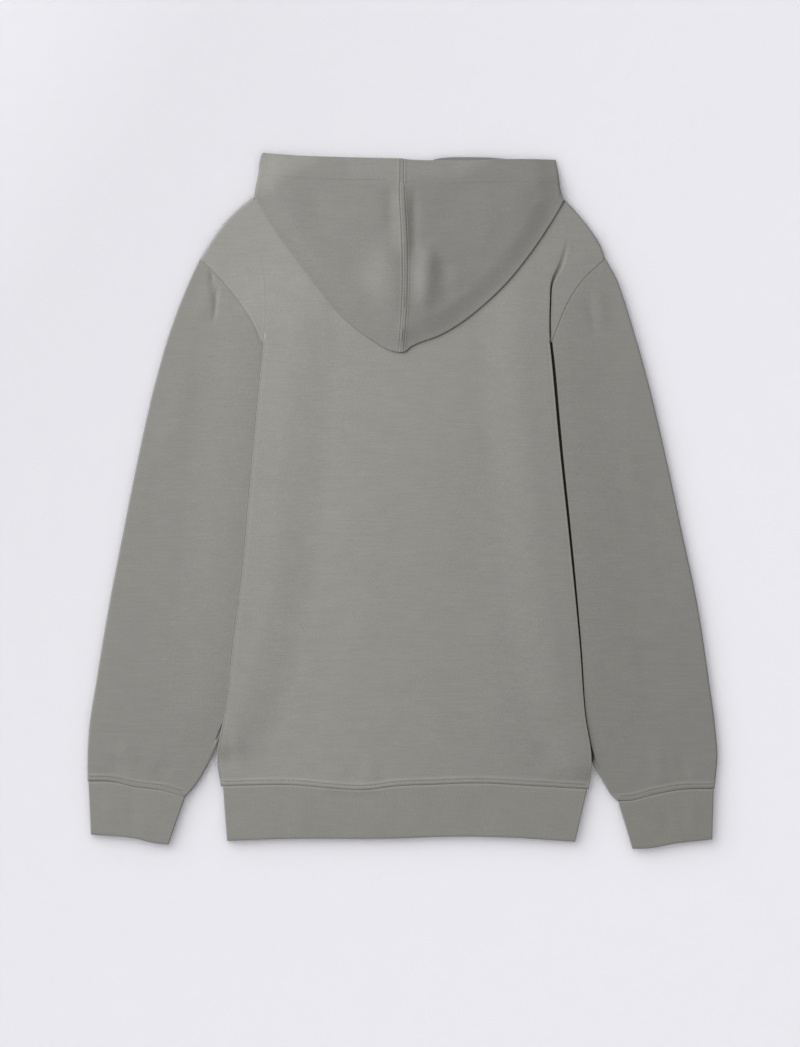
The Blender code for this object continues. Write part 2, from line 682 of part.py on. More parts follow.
def throat(side, start):
    """The hidden wall within the neck, from beside it to the middle of the front neckline."""
    way = OUTWARD[side]
    neck_x, neck_y = SHOULDER[side][-1]
    front = along(FRONT_NECK, even(NECK_STEPS))
    front = front[: NECK_STEPS // 2 + 1] if side == "left" else front[NECK_STEPS // 2 :][::-1]
    front = beside(front, -way * SEAM)
    front[-1, 0] = FRONT_NECK[3][0] + way * SEAM / 2
    corner = (neck_x, neck_y) + np.array([(0, 0), (-way * 3, 1.8), (-way * 6, -0.5)])
    low = np.concatenate([corner, on_line(front, THROAT_STEPS)])
    rim = along(RIM_INNER[side], [0, 0.03, 0.07, *(0.07 + 0.93 * np.array(THROAT_STEPS))])
    share = np.array(NECK_PAST)[:, None, None] / NECK_PAST[-1]
    plan = low + share * (rim - low)
    drop = np.array([1, 0.6] + [0] * (len(low) - 2))
    return with_height(plan, UNDER_FLOOR + (start[:, None, 2] - UNDER_FLOOR) * drop)


def hood_grids(side):
    """The outer wall, the fold round its edge, and the parts of the inner wall."""
    edge = inside_outline(side, HALF + HOOD_LAYER / 2)
    crossing = edge[len(HOOD_COLUMNS) - 1]
    shoulder = crossing + (np.array(SHOULDER[side][-1]) - crossing) * even(HOOD_UNDER_ROWS)[:, None]
    outer = outer_wall(side, edge)
    inner, beyond = inner_wall(side, edge, shoulder), shoulder_wall(side, edge, shoulder)
    inner[:, -1, 2] = beyond[0, :, 2]
    high = np.concatenate([outer[0], outer[1:, -1]])
    low = np.concatenate([inner[0], beyond[1:, 0]])
    turn = fold_round(high, low, inside_outline(side, HALF) - edge)
    return [outer, turn, inner, beyond, throat(side, beyond[:, -1])]


def fold_round(high, low, outward):
    """Rows of a fold from an upper edge round to a lower one, bulging outwards by a plan vector."""
    rows = [high]
    for up in (0.5, -0.5):
        row = (high + low) / 2
        row[:, 2] += up * (high - low)[:, 2] / 2
        row[:, :2] += 0.87 * outward
        rows.append(row)
    return np.array(rows + [low])


# Rib bands


def band_loop(line, out, rise, ribs):
    """Points round a flattened rib tube, at a distance out from the middle of its wall."""
    turn = (RIB_TOP_MID - RIB_LOW_MID) / 2
    upper = with_height(on_line(line, even(2 * ribs)), RIB_TOP_MID + out)
    upper[1::2, 2] += rise
    lower = with_height(line[::-1], RIB_LOW_MID - out)
    turns = []
    for end, near, cosines in ((-1, -2, (0.5, -0.5)), (0, 1, (-0.5, 0.5))):
        outward = (line[end] - line[near]) / np.hypot(*(line[end] - line[near]))
        plan = line[end] + outward * (turn + out) * 0.87
        turns.append([(*plan, RIB_LOW_MID + turn + (turn + out) * cosine) for cosine in cosines])
    return np.concatenate([upper, turns[0], lower, turns[1]])


def add_band(name, seam, edge, material):
    """A flattened rib tube from its seam to its folded edge, with ribs raised on its upper side."""
    half = RIB_CLOTH / 2
    turn = (RIB_TOP_MID - RIB_LOW_MID) / 2
    ribs = round(np.hypot(*(seam[-1] - seam[0])) / RIB_PITCH)
    near = edge + (seam - edge) * BAND_FOLD
    seam, near, edge = [inset_ends(line, half + turn, half + turn) for line in (seam, near, edge)]
    loops = [
        band_loop(seam, half, RIB_RISE, ribs),
        band_loop(near, half, RIB_RISE, ribs),
        band_loop(edge, half / 2, RIB_RISE / 2, ribs),
        band_loop(edge, -half / 2, 0, ribs),
        band_loop(near, -half, 0, ribs),
        band_loop(seam, -half, 0, ribs),
        band_loop(seam, half, RIB_RISE, ribs),
    ]
    faces = grid_faces(len(loops), len(loops[0]), closed=True)
    return add_object(name, np.concatenate(loops), faces, material)


def build():
    for old in list(bpy.data.objects):
        bpy.data.objects.remove(old, do_unlink=True)
    jersey = fabric("jersey", (0.28, 0.275, 0.25), 0.92)
    rib = fabric("rib", (0.255, 0.25, 0.225), 0.92)
    add_cloth("back_panel", [back_grid()], jersey)
    add_cloth("front_panel", [front_grid()], jersey)
    for side in OUTWARD:
        add_cloth("hood_" + side, hood_grids(side), jersey)
        add_cloth("sleeve_" + side, [sleeve_grid(side)], jersey, closed=True)
        seam = inset_ends(cuff_line(side, -1.8 * SEAM), CUFF_IN, 1)
        add_band("cuff_" + side, seam, along(CUFF_EDGE[side], even(CUFF_STEPS)), rib)
    seam = inset_ends(hem_line(-SEAM / 2), 2.2, 1.4)
    add_band("hem_band", seam, along(HEM_EDGE, even(PANEL_STEPS)), rib)


build()
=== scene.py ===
"""The look of a pullover hoodie that lies flat with its back up.

Tables and functions are in millimetres, in the garment's own plan: X runs across it, Y up it towards
the hood, and Z out of its back. Meshes are moved to the frame's middle and made in metres. Each piece
of cloth is a thin shell on the form of its CAD node, sampled finely, with its creases, seam ridges and
stitches. A height called "mid" is of the middle of a wall. Beside its place, a point may carry its share
of the cloth's full thickness, and its "shade": painted light and shade, by which the cloth's colour is
multiplied there, lighter above 1 and darker below.
"""

import math

import bmesh
import bpy
import numpy as np
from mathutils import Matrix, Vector
from mathutils.bvhtree import BVHTree


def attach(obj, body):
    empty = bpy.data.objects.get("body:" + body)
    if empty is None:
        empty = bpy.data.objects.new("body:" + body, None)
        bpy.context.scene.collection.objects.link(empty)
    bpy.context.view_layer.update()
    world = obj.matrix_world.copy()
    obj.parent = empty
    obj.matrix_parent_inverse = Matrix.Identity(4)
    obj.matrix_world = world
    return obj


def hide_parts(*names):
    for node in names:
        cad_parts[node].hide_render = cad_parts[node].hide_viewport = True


MM = 0.001
MIDDLE = (-0.15, 0.9, 0)  # middle of the garment, on the surface
OUTWARD = {"left": -1, "right": 1}

# Cloth
CLOTH = 2.0  # brushed sweatshirt jersey
HALF = CLOTH / 2
RIB_CLOTH = 3.0  # rib folded double
SEAM = 0.3  # between two pieces
JOIN = 0.1  # between two pieces whose seam is pressed shut
RIB_PITCH = 2.7
RIB_RISE = 0.1

# Layers, from the surface up
LAYER = CLOTH + SEAM
FRONT_MID = HALF
AIR = 0.8  # inside the flattened tubes
NOSE_MID = FRONT_MID + LAYER + AIR  # the sleeve's upper wall where it is tucked in
RETURN_MID = NOSE_MID + LAYER  # the back panel turned back beneath its own fold
LIP_MID = RETURN_MID + LAYER  # the back panel's fold over the sleeve
BACK_MID = NOSE_MID + 0.6  # the back panel and the sleeves elsewhere
STAND_MID = CLOTH + SEAM + 0.05  # the end of a wall that stands on the front panel
REST_GAP = 0.05  # between the surface and hood cloth that lies on it
RIB_LOW_MID = RIB_CLOTH / 2
RIB_TOP_MID = RIB_LOW_MID + RIB_CLOTH + AIR
SEAM_ROLL = 0.9  # rise of the cloth along the hem and cuff seams
SEAM_ROLL_RUN = (4, 9)  # mm from the seam over which that rise ends
SEAM_BULGE = (0.2, 2.4, 1.3)  # a further rise beside the seam: its height, its distance and its width
SEAM_DIP = (0.9, 1.3)  # depth of the seam itself, and its run

# The body's side folds, (height, across), from the hem seam past the armhole to the shoulder
FOLD = {
    "left": [
        (-313, -199.5), (-284, -203.5), (-265, -201.6), (-228, -194.3), (-152, -185.8),
        (-75, -175.9), (24, -167.1), (106, -159.4), (173, -152.8), (207, -150.0),
        (241, -150.0), (268, -154.4), (300, -160.5), (335, -163.2),
    ],
    "right": [
        (-316, 204.5), (-300, 207.0), (-285, 207.8), (-235, 200.8), (-162, 195.2),
        (-38, 183.1), (66, 172.1), (151, 164.4), (183, 161.3), (218, 161.7),
        (241, 163.0), (266, 172.8), (291, 179.0), (332, 177.6),
    ],
}
# How far the sleeve's inner edge is tucked inside the fold, (height, depth)
TUCK = {
    "left": [(-264, 0), (-230, 7), (-190, 15), (-140, 21), (0, 25), (150, 24)],
    "right": [(-286, 0), (-250, 7), (-205, 15), (-150, 21), (0, 25), (152, 24)],
}
SPLIT = {"left": -264, "right": -286}  # height at which the sleeve leaves the body
FOLD_UP = (-24, 0)  # heights above the split between which the fold rises
RIDGE_UP = (-30, 90)  # the same of the sleeve's ridge beside it
FREE_UP = (-2, 5)  # and of the sleeve's inner edge, which tucks in there
SETTLED = {"left": 275, "right": 335}  # height at which the fold has settled, above the armhole
SETTLE_START = 8  # above the armhole's foot
FOLD_FALL = (4, 60)  # distances in from the tucked edge between which the fold comes down
GROOVE = {  # width of the gap between the fold and the sleeve beside it, (height, width)
    "left": [(-264, 0.06), (174, 0.06)],
    "right": [
        (-286, 0.15), (-240, 0.55), (-196, 1.2), (-130, 1.75),
        (-64, 2.4), (24, 2.8), (156, 3.0), (175, 2.8),
    ],
}
GROOVE_WALL = [(0.02, 0.5), (0.05, 0.2), (0.1, 0)]  # (run, share of height left) down into the groove
GROOVE_PAINTED_LIGHT_AND_SHADE = {"left": 1.25, "right": 0.25}  # painted light and shade down in the groove: lighter on the left, darker on the right
LIP_PAINTED_LIGHT = {"left": 1.12, "right": 1}  # painted light at the corners beside it, on the left
RIDGE = {"left": 3.95, "right": 2.4}  # rise of the sleeve beside the groove
RIDGE_FALL = (6, 75)  # distances out from the fold between which it comes down
FOLD_SHARE = {"left": 0.3, "right": 0.6}  # of the cloth's thickness, at the corners beside the groove
CORNER_IN = 0.5  # from a corner to the next points, in along the top
CORNER_DOWN = 0.4  # and down its side
CREASE = {  # the groove's run above the armhole, (height, width, depth, painted shade)
    "left": [(174, 3.5, -0.12, 1), (262, 3.5, 0, 1)],
    "right": [
        (175, 3.6, 3.5, 0.08), (224, 3.2, 3.3, 0.08), (244, 4.5, 1.8, 0.6), (266, 9, 1.0, 1), (292, 10, 0, 1),
    ],
}
CREASE_STEEP = (0, 2.5)  # depths between which its walls go from soft to steep
CREASE_SHARE = 0.3  # of the cloth's thickness down in it, where it is steep
CREASE_PAINTED_SHADE_RUN = (0.15, 0.55)  # shares of the way down between which its painted shade comes
LIP_NEAR = (0.1, 0.4)  # from its lips to the next points, where it is soft and where it is steep
SEAM_NEAR = 5  # from the armhole seam to the column of the yoke beside it
NOSE_LEAST = 5  # least distance from the end of the sleeve's upper wall to its inner edge
NOSE_CORNER = 0.3  # from the end of that wall to the point before it
EDGE_RUN = 0.3  # of the rounding at the garment's edges
EDGE_SHARE = 0.5  # of the cloth's thickness there
EDGE_PAINTED_LIGHT = {"left": 0.45, "right": 0}  # painted light: lighter by this share, round a sleeve's free inner edge
BAND_RUN = 0.8  # of the rounding at a rib band's edges

ARMHOLE_RIDGE = {"left": 0.14, "right": 0.02}  # rise of the cloth beside the armhole seam
ARMHOLE_BULGE = (2.6, 1.9)  # distance of that rise from the seam, and its width
ARMHOLE_DIP = {"left": (0.35, 1.2), "right": (0.4, 0.8)}  # depth of the seam, and its run
ARMHOLE_PAINTED_SHADE = {"left": 0.92, "right": 0.68}  # painted shade in the seam
ARMHOLE_PAINTED_SHADE_RUN = (0.2, 1.3)  # distances from the seam between which that painted shade ends

# Painted light and shade, where the cloth is made lighter or darker as the light falls on it: over the back,
# as (across, shade), and on soft patches of the hood, as (across, height, half width, half height, more
# shade)
BACK_PAINTED_SHADING = [(-200, 1.06), (-120, 1.10), (0, 1.055), (120, 1.0), (190, 0.96)]
HOOD_PAINTED_SHADING = [
    (-33, 250, 20, 22, 0.12), (16, 247, 8, 19, 0.16), (-12, 232, 7, 26, 0.05),
    (15, 194, 10, 10, 0.05), (-16, 330, 10, 26, -0.03),
]

# Points that outlines share, as (across, height)
SHOULDER_POINT = {"left": (-222.6, 266.0), "right": (222.9, 266.5)}
NECK_POINT = {"left": (-94.0, 367.0), "right": (95.0, 367.0)}
HOOD_BEND = {"left": (-162.8, 335.6), "right": (177.6, 330.0)}  # where its low edge meets its side fold
HOOD_CORNER = {"left": (-154.4, 383.4), "right": (168.5, 375.7)}
RIM_TURN = {"left": (-94.0, 377.5), "right": (95.0, 378.2)}  # where its hidden rim goes into the neck

# Armhole seam from the shoulder point to the fold, as (across, height)
ARMHOLE = {
    "left": [
        SHOULDER_POINT["left"], (-206.0, 251.5), (-186.0, 228.3),
        (-174.0, 212.5), (-161.0, 189.8), (-155.2, 174.0),
    ],
    "right": [
        SHOULDER_POINT["right"], (198.7, 243.7), (185.5, 225.0),
        (176.7, 207.4), (168.7, 187.0), (163.8, 175.0),
    ],
}
UNDERARM = {"left": (-129.4, 150.0), "right": (139.1, 152.0)}
FOOT_CLEAR = 1.2  # extra room between the back panel and the sleeve where the armhole meets the fold
UNDERARM_EASE = 5  # the back panel's turned edge keeps its depth this far above the underarm
UNDERARM_CLEAR = 12  # the front panel's side ends this far below it
SHOULDER = {
    "left": [
        SHOULDER_POINT["left"], (-213.6, 280.0), (-202.0, 297.6),
        (-187.0, 315.2), (-163.2, 335.0), NECK_POINT["left"],
    ],
    "right": [
        SHOULDER_POINT["right"], (218.5, 280.0), (207.5, 297.6),
        (193.6, 315.2), (177.6, 332.0), NECK_POINT["right"],
    ],
}
BACK_NECK = [NECK_POINT["left"], (-60.0, 350.0), (0.7, 342.7), (60.0, 350.0), NECK_POINT["right"]]
FRONT_NECK = [
    NECK_POINT["left"], (-85.0, 315.0), (-55.0, 279.0), (0.7, 263.5),
    (56.0, 279.0), (86.0, 315.0), NECK_POINT["right"],
]

# Sleeve edges, (height, across)
SLEEVE_OUTER = {
    "left": [
        (-307, -345.8), (-284, -345.8), (-251, -344.2), (-196, -335.9), (-114, -322.2), (-31, -306.2),
        (51, -289.7), (134, -270.6), (192, -253.4), (227, -240.2), (245, -232.5), (266, -222.6),
    ],
    "right": [
        (-315, 342.8), (-278, 346.0), (-251, 343.9), (-196, 336.6), (-114, 324.1), (-31, 306.5),
        (51, 288.9), (134, 269.1), (192, 252.6), (227, 241.6), (245, 235.0), (266.5, 222.9),
    ],
}
SLEEVE_INNER_END = {
    "left": [(-324, -238.0), (-311, -226.6), (-291, -214.5), (-278, -207.9), (-264, -202.2)],
    "right": [(-328.4, 236.1), (-324, 231.2), (-311, 222.6), (-298, 214.8), (-286, 208.8)],
}

# Rib bands, as (across, height)
HEM_SEAM = [
    (-199.5, -312.6), (-117.0, -311.7), (-72.0, -315.6), (-45.0, -317.0), (-5.0, -312.6),
    (34.0, -311.0), (85.0, -309.5), (145.0, -312.6), (204.5, -316.0),
]
HEM_EDGE = [
    (-192.9, -372.9), (-138.0, -370.8), (-12.5, -370.2),
    (63.4, -368.0), (123.0, -369.5), (189.9, -373.9),
]
CUFF_SEAM = {
    "left": [(-345.8, -307.0), (-320.0, -307.5), (-293.0, -313.0), (-262.0, -317.0), (-238.0, -324.0)],
    "right": [(342.8, -315.2), (306.0, -316.2), (273.5, -322.0), (250.0, -328.0), (236.1, -328.4)],
}
CUFF_EDGE = {
    "left": [(-342.5, -365.8), (-327.0, -366.9), (-293.0, -370.2), (-276.0, -374.6), (-257.0, -377.0)],
    "right": [(340.6, -371.3), (301.0, -375.7), (269.0, -381.2), (252.6, -381.5)],
}
HEM_IN = (2.2, 1.4)  # the hem band is this much narrower than the body at the ends of its seam
CUFF_IN = (3.5, 1)  # and the cuff than the sleeve
CUFF_GAP = 0.54  # between the cuff and its seam

# Hood, as (across, height) from the centre seam outwards, and its side folds upwards
CENTRE_SEAM = [  # (height, across)
    (163, -1.5), (215, 2.2), (255, 3.0), (300, 1.8), (343, -0.4), (379, -0.4),
]
HOOD_LOW = {
    "left": [
        (-1.5, 163.4), (-8.0, 164.2), (-37.8, 179.9), (-63.1, 199.7), (-88.4, 229.4),
        (-113.7, 262.4), (-137.9, 295.4), HOOD_BEND["left"],
    ],
    "right": [
        (-1.5, 163.4), (3.2, 164.4), (9.5, 169.6), (19.4, 174.3), (38.1, 181.0), (63.4, 195.3),
        (88.7, 215.1), (114.0, 239.3), (138.2, 269.0), (163.5, 306.4), HOOD_BEND["right"],
    ],
}
HOOD_SIDE = {
    "left": [HOOD_BEND["left"], (-161.5, 345.0), (-158.5, 360.0), (-157.0, 374.0), HOOD_CORNER["left"]],
    "right": [HOOD_BEND["right"], (174.0, 342.7), (171.2, 362.5), HOOD_CORNER["right"]],
}
HOOD_TOP = {
    "left": [(-0.4, 376.8), (-57.6, 377.9), (-112.6, 379.5), HOOD_CORNER["left"]],
    "right": [
        (-0.4, 376.6), (8.0, 375.4), (20.0, 374.8), (50.0, 374.4), (90.0, 374.4),
        (108.0, 375.4), (130.0, 375.8), HOOD_CORNER["right"],
    ],
}
# The rim's hidden half: from the top corner to beside the neck, and on to the front of the neck
RIM_OUTER = {
    "left": [HOOD_CORNER["left"], (-120.0, 379.0), RIM_TURN["left"]],
    "right": [HOOD_CORNER["right"], (130.0, 375.4), (112.0, 376.8), RIM_TURN["right"]],
}
RIM_INNER = {
    "left": [RIM_TURN["left"], (-55.0, 352.0), (-25.0, 308.0), (0.0, 268.5)],
    "right": [
        RIM_TURN["right"], (70.0, 378.6), (50.0, 378.2), (36.0, 376.4), (24.0, 370.0),
        (12.0, 345.0), (4.5, 305.0), (1.4, 268.5),
    ],
}
HOOD_LAYER = LAYER + 0.1
HOOD_LOFT = 0.8  # further rise of its outer wall
LOFT_UP = (4, 50)  # distances above its low edge between which that rise comes
LOFT_DOWN = (0, 30)  # and past the body's top, between which it goes
HOOD_EDGE = 0.4  # share of the cloth's thickness left where the folded edge is pressed flat
HOOD_EDGE_RUN = (1, 26)  # mm inside the folded edge over which the cloth reaches its full thickness
INNER_SETTLE = (1.0, 7.5)  # mm past the body's top over which the hood's inner wall comes down
OUTER_SETTLE = (0.5, 46.0)  # the same of its outer wall
CENTRE_RIDGE = {"rise": 1.6, "width": 8.0}  # round the centre seam
HOOD_TROUGH = {"across": 12.5, "width": 5.0, "depth": 1.2}  # beside it, on the right
RIDGE_RUN = (260, 286, 322, 354)  # heights between which ridge and trough rise, and fall again

# Sewing
CASING = 24.0  # from the hood's rim down to the casing's stitches
CASING_RISE = 0.1
CASING_RUN = 3  # from its stitches to both ends of that rise
CASING_END = {"left": 158, "right": 170}  # how far out its stitches run
TOPSTITCH = 4.7  # from the hem and cuff seams up to their stitches
TOPSTITCH_DIP = (0.38, 0.6)  # depth of the cloth beneath them, and its width
TWIN = 2.9  # from the hood's centre seam out to each of its two rows of stitches
TWIN_DIP = (0.5, 0.65)  # depth of the cloth beneath them, and its width
TWIN_ENDS = (168, 375)  # heights between which they run
TWIN_TURN = (346, 352)  # heights between which they come 1 mm closer, within the casing
CENTRE_RISE = 0.35  # of the cloth between them
CENTRE_RISE_RUN = (0.6, 2.6)  # distances outside them between which that rise ends
CENTRE_DIP = (0.25, 0.9)  # depth of the centre seam itself, and its run
STITCH_PITCH = 2.8
STITCH_LENGTH = 1.7
STITCH_RADIUS = 0.3
STITCH_SIDES = 6
STITCH_RINGS = [  # (place as a share of the length, share of the radius, lift)
    (-0.5, 0.35, -0.25), (-0.38, 0.85, 0.0), (0, 1.0, 0.12), (0.38, 0.85, 0.0), (0.5, 0.35, -0.25),
]
THREAD_LIFT = 0.05

# Counts of steps
BAND_PLACES = np.arange(25) * 0.4  # of rows, in mm from the seam of a rib band
ARMHOLE_PLACES = [0, 0.5, 1.0, 1.6, 2.4, 3.4, 5.0, 7.5]  # of rows, in mm from the armhole
FOOT_ROWS = (1.5, 3)  # from the armhole's foot to the nearest row below it, and above it
BODY_ROWS = 90
BODY_COUNT = len(BAND_PLACES) + BODY_ROWS + 1  # of rows below the armhole
ARMHOLE_STEPS = 72
SHOULDER_STEPS = 20
NECK_STEPS = 84
PANEL_STEPS = 2 * SHOULDER_STEPS + NECK_STEPS
PROFILE_STEPS = 24
YOKE_COLUMNS = [0, 1, 9, 10, 17, PROFILE_STEPS]  # that lie at the six stops along a row of the yoke
TURN_ANGLES = np.array([0.2, 0.35, 0.5, 0.65, 0.8])  # round an edge, as shares of a half turn
CUFF_STEPS = ARMHOLE_STEPS + 1
SLEEVE_ROWS = 100
SLEEVE_RUN = 530  # mm that they are spread over
FRONT_ROWS = 60
FRONT_HOLD = 6  # how closely its rows keep the neck's shape near it
CENTRE_PLACES = np.arange(15) * 0.42  # of columns, in mm from the hood's centre seam
HOOD_WIDTH = 172
HOOD_STEPS = 64
SIDE_ROWS = 130
HOOD_UNDER_ROWS = 16
THROAT_COUNT = 20
RIB_SAMPLES = 6
BAND_LINES = [0.985, 0.95, 0.88, 0.76, 0.64, 0.52, 0.4, 0.28, 0.16, 0.06, 0.02]  # from a band's edge up
BAND_TURN = [  # round its folded edge, (share of the way up, share of half its thickness, of a rib's rise)
    (0.007, 0.85, 0.8), (0.002, 0.5, 0.4), (0, 0, 0), (0.004, -0.4, 0),
]

# Creases, each a soft ridge or trough along a straight run: (from x, y, to x, y, width, rise)
CREASES = {
    "back_panel": [
        (146, -262, 188, -303, 9, -0.9), (160, -258, 200, -290, 6, 0.5),
        (122, -80, 134, -330, 46, 0.9), (-78, 230, -90, 10, 42, 0.8),
        (-196, -250, -184, -292, 6, -0.7), (-186, -244, -176, -300, 7, 0.5),
        (-66, -296, -44, -308, 4, -0.7), (-44, -290, -24, -307, 4, 0.6), (-30, -292, -12, -309, 4, -0.5),
        (-110, -100, -128, -270, 26, 0.5), (60, 60, 96, -180, 34, -0.5), (-60, 40, -30, -200, 30, 0.4),
        (120, 120, 150, -60, 18, 0.5), (-130, 110, -118, -40, 16, -0.4), (20, -160, 44, -300, 22, 0.4),
        (-140, 190, -104, 150, 12, -0.5), (-60, 150, -104, 212, 16, 0.4), (84, 150, 126, 214, 15, -0.4),
    ],
    "sleeve_left": [
        (-211, 255, -204.5, 214, 2.2, -1.6), (-203.5, 238, -207, 194, 2.2, -1.4),
        (-214, 240, -222, 190, 8, 0.5), (-272, -290, -250, -296, 4, -0.9), (-322, -280, -300, -302, 6, -0.8),
        (-312, -268, -288, -290, 7, 0.6), (-235, 160, -262, 20, 16, 0.5), (-262, 60, -296, -120, 20, -0.4),
        (-240, -60, -262, -220, 18, 0.5),
    ],
    "sleeve_right": [
        (212, 236, 224, 190, 7, 0.6), (204, 226, 212, 180, 5, -0.6), (300, -280, 318, -306, 6, -0.7),
        (276, -270, 288, -312, 7, 0.6), (232, 130, 262, -20, 18, 0.5), (270, 40, 300, -140, 20, -0.5),
        (238, -120, 262, -250, 16, 0.5),
    ],
    "hood_left": [
        (-18, 292, -12, 196, 17, 2.3), (-15, 350, -13, 285, 6, -0.7), (-60, 330, -40, 250, 20, 0.6),
        (-100, 350, -84, 290, 16, -0.6),
        (-132, 366, -118, 322, 10, 0.5), (-50, 220, -22, 190, 12, -0.5),
    ],
    "hood_right": [
        (-18, 292, -12, 196, 17, 2.3), (29, 288, 24, 200, 9.5, 3.2), (43, 268, 50, 214, 8, -1.2),
        (54, 240, 72, 200, 14, -0.9), (104, 350, 84, 262, 18, 0.7),
        (160, 354, 150, 300, 14, -1.2), (130, 352, 118, 300, 12, 0.5), (60, 352, 46, 290, 14, -0.5),
    ],
    "hem_band": [
        (-88, -322, -16, -325, 5, -0.8), (-120, -330, -104, -366, 12, 0.4), (80, -322, 96, -366, 14, -0.4),
    ],
    "cuff_left": [(-300, -322, -292, -364, 7, -0.5), (-322, -320, -318, -360, 8, 0.4)],
    "cuff_right": [(288, -330, 292, -372, 8, -0.5), (318, -324, 320, -366, 8, 0.4)],
}


def smooth(rows, at):
    """Values on the smooth curve through a table of (place, value) rows, in rising order."""
    places, values = np.array(rows, float).T
    slopes = np.gradient(values, places)
    at = np.clip(at, places[0], places[-1])
    i = np.clip(np.searchsorted(places, at, side="right") - 1, 0, len(places) - 2)
    span = places[i + 1] - places[i]
    t = (at - places[i]) / span
    ends = values[i] * (1 + 2 * t) * (1 - t) ** 2 + values[i + 1] * t * t * (3 - 2 * t)
    return ends + span * t * (1 - t) * (slopes[i] * (1 - t) - slopes[i + 1] * t)


def lengths(points):
    """How far along a path of straight stretches each of its points lies."""
    return np.concatenate([[0], np.cumsum(np.hypot(*np.diff(points, axis=0).T))])


def along(points, fractions):
    """Points at fractions of the length of the smooth path through a few plan points."""
    points = np.array(points, float)
    length = lengths(points)
    at = np.asarray(fractions, float) * length[-1]
    return np.stack([smooth(np.stack([length, axis], 1), at) for axis in points.T], axis=-1)


def resample(rows, steps):
    """Rows of a short table at more, even places of its row number, on straight stretches."""
    rows = np.array(rows, float)
    at = np.linspace(0, len(rows) - 1, steps + 1)
    return np.stack([np.interp(at, np.arange(len(rows)), axis) for axis in rows.T], axis=-1)


def ease(value, start, end):
    """0 up to the start, 1 from the end, and a smooth step between."""
    t = np.clip((value - start) / (end - start), 0, 1)
    return t * t * (3 - 2 * t)


def bell(offset, width):
    """1 at no offset, falling off alike on both sides of it."""
    return np.exp(-((offset / width) ** 2))


def unit(run):
    """A plan vector made 1 mm long."""
    return run / np.hypot(*run)


def even(steps):
    return np.linspace(0, 1, steps + 1)


def rows_between(length, first, steps, last):
    """Fractions of a length: at places in mm from its start and its end, and even between them."""
    between = np.linspace(first[-1], length - last[-1], steps + 1)[1:-1]
    return np.concatenate([first, between, length - np.array(last)[::-1]]) / length


def on_line(points, fractions):
    """Points at fractions of the length of the straight-sided line through plan points."""
    points = np.asarray(points, float)
    shares = lengths(points)
    shares /= shares[-1]
    return np.stack([np.interp(fractions, shares, axis) for axis in points.T], axis=-1)


def beside(points, distance):
    """A plan path moved to its left, seen along its run, or to its right for a negative distance."""
    step = np.gradient(np.asarray(points, float), axis=0)
    step /= np.hypot(step[:, :1], step[:, 1:])
    return points + distance * np.stack([-step[:, 1], step[:, 0]], axis=1)


def patch(bottom, top, left, right, columns=None, hold=1):
    """A grid of points between four edges, rows from bottom to top, at even or given columns.

    A hold above 1 keeps the shape of the top edge close to it.
    """
    u = np.array(even(len(bottom) - 1) if columns is None else columns)[None, :, None]
    v = even(len(left) - 1)[:, None, None] ** hold
    across = (1 - u) * left[:, None] + u * right[:, None]
    up = (1 - v) * bottom[None] + v * top[None]
    corners = (1 - v) * ((1 - u) * bottom[0] + u * bottom[-1]) + v * ((1 - u) * top[0] + u * top[-1])
    return across + up - corners


def with_height(plan, height):
    """Plan points with a third column, their height."""
    height = np.broadcast_to(height, plan.shape[:-1])
    return np.concatenate([plan, height[..., None]], axis=-1)


def beside_run(plan, start, end):
    """Where plan points are beside a straight run: the share of it reached, and the distance from it."""
    run = end - start
    share = ((plan - start) @ run) / (run @ run)
    return share, np.hypot(*np.moveaxis(plan - start - np.clip(share, 0, 1)[..., None] * run, -1, 0))


def distance_to(plan, line):
    """Distance of plan points from a line of straight stretches."""
    return np.min([beside_run(plan, start, end)[1] for start, end in zip(line[:-1], line[1:])], axis=0)


def creased(name, plan):
    """Rise or fall of a piece's creases at plan points."""
    total = np.zeros(plan.shape[:-1])
    for *ends, width, rise in CREASES[name]:
        share, side = beside_run(plan, *np.array(ends).reshape(2, 2))
        total += rise * bell(side, width) * ease(share, -0.05, 0.3) * (1 - ease(share, 0.6, 1.05))
    return total


def grid_faces(rows, columns, closed=False):
    """Quads between the points of a grid, joined round its columns when closed."""
    turn = columns if closed else columns - 1
    faces = []
    for row in range(0, (rows - 1) * columns, columns):
        for c in range(turn):
            d = (c + 1) % columns
            faces.append((row + c, row + d, row + columns + d, row + columns + c))
    return faces


# Meshes


def full(points):
    """Points with five columns: their place, share of the cloth's thickness, and painted light and shade."""
    points = np.asarray(points, float)
    return np.concatenate([points, np.ones((*points.shape[:-1], 5 - points.shape[-1]))], axis=-1)


def placed(name, data, place=(0, 0, 0)):
    """A new object in the scene."""
    made = bpy.data.objects.new(name, data)
    made.location = place
    bpy.context.scene.collection.objects.link(made)
    return made


def add_object(name, points, faces, material):
    """A mesh object from points in millimetres, its coincident points joined."""
    work = bmesh.new()
    # painted light and shade, which multiplies the cloth's colour
    shade = work.verts.layers.float.new("shade")
    groups = work.verts.layers.deform.verify()
    corners = []
    for point in full(points):
        corner = work.verts.new((point[:3] - MIDDLE) * MM)
        corner[groups][0] = point[3]
        corner[shade] = point[4]
        corners.append(corner)
    for face in faces:
        work.faces.new([corners[i] for i in face])
    bmesh.ops.remove_doubles(work, verts=work.verts, dist=0.01 * MM)
    bmesh.ops.recalc_face_normals(work, faces=work.faces)
    mesh = bpy.data.meshes.new(name)
    work.to_mesh(mesh)
    work.free()
    mesh.shade_smooth()
    mesh.materials.append(material)
    made = placed(name, mesh)
    made.vertex_groups.new(name="wall")
    return made


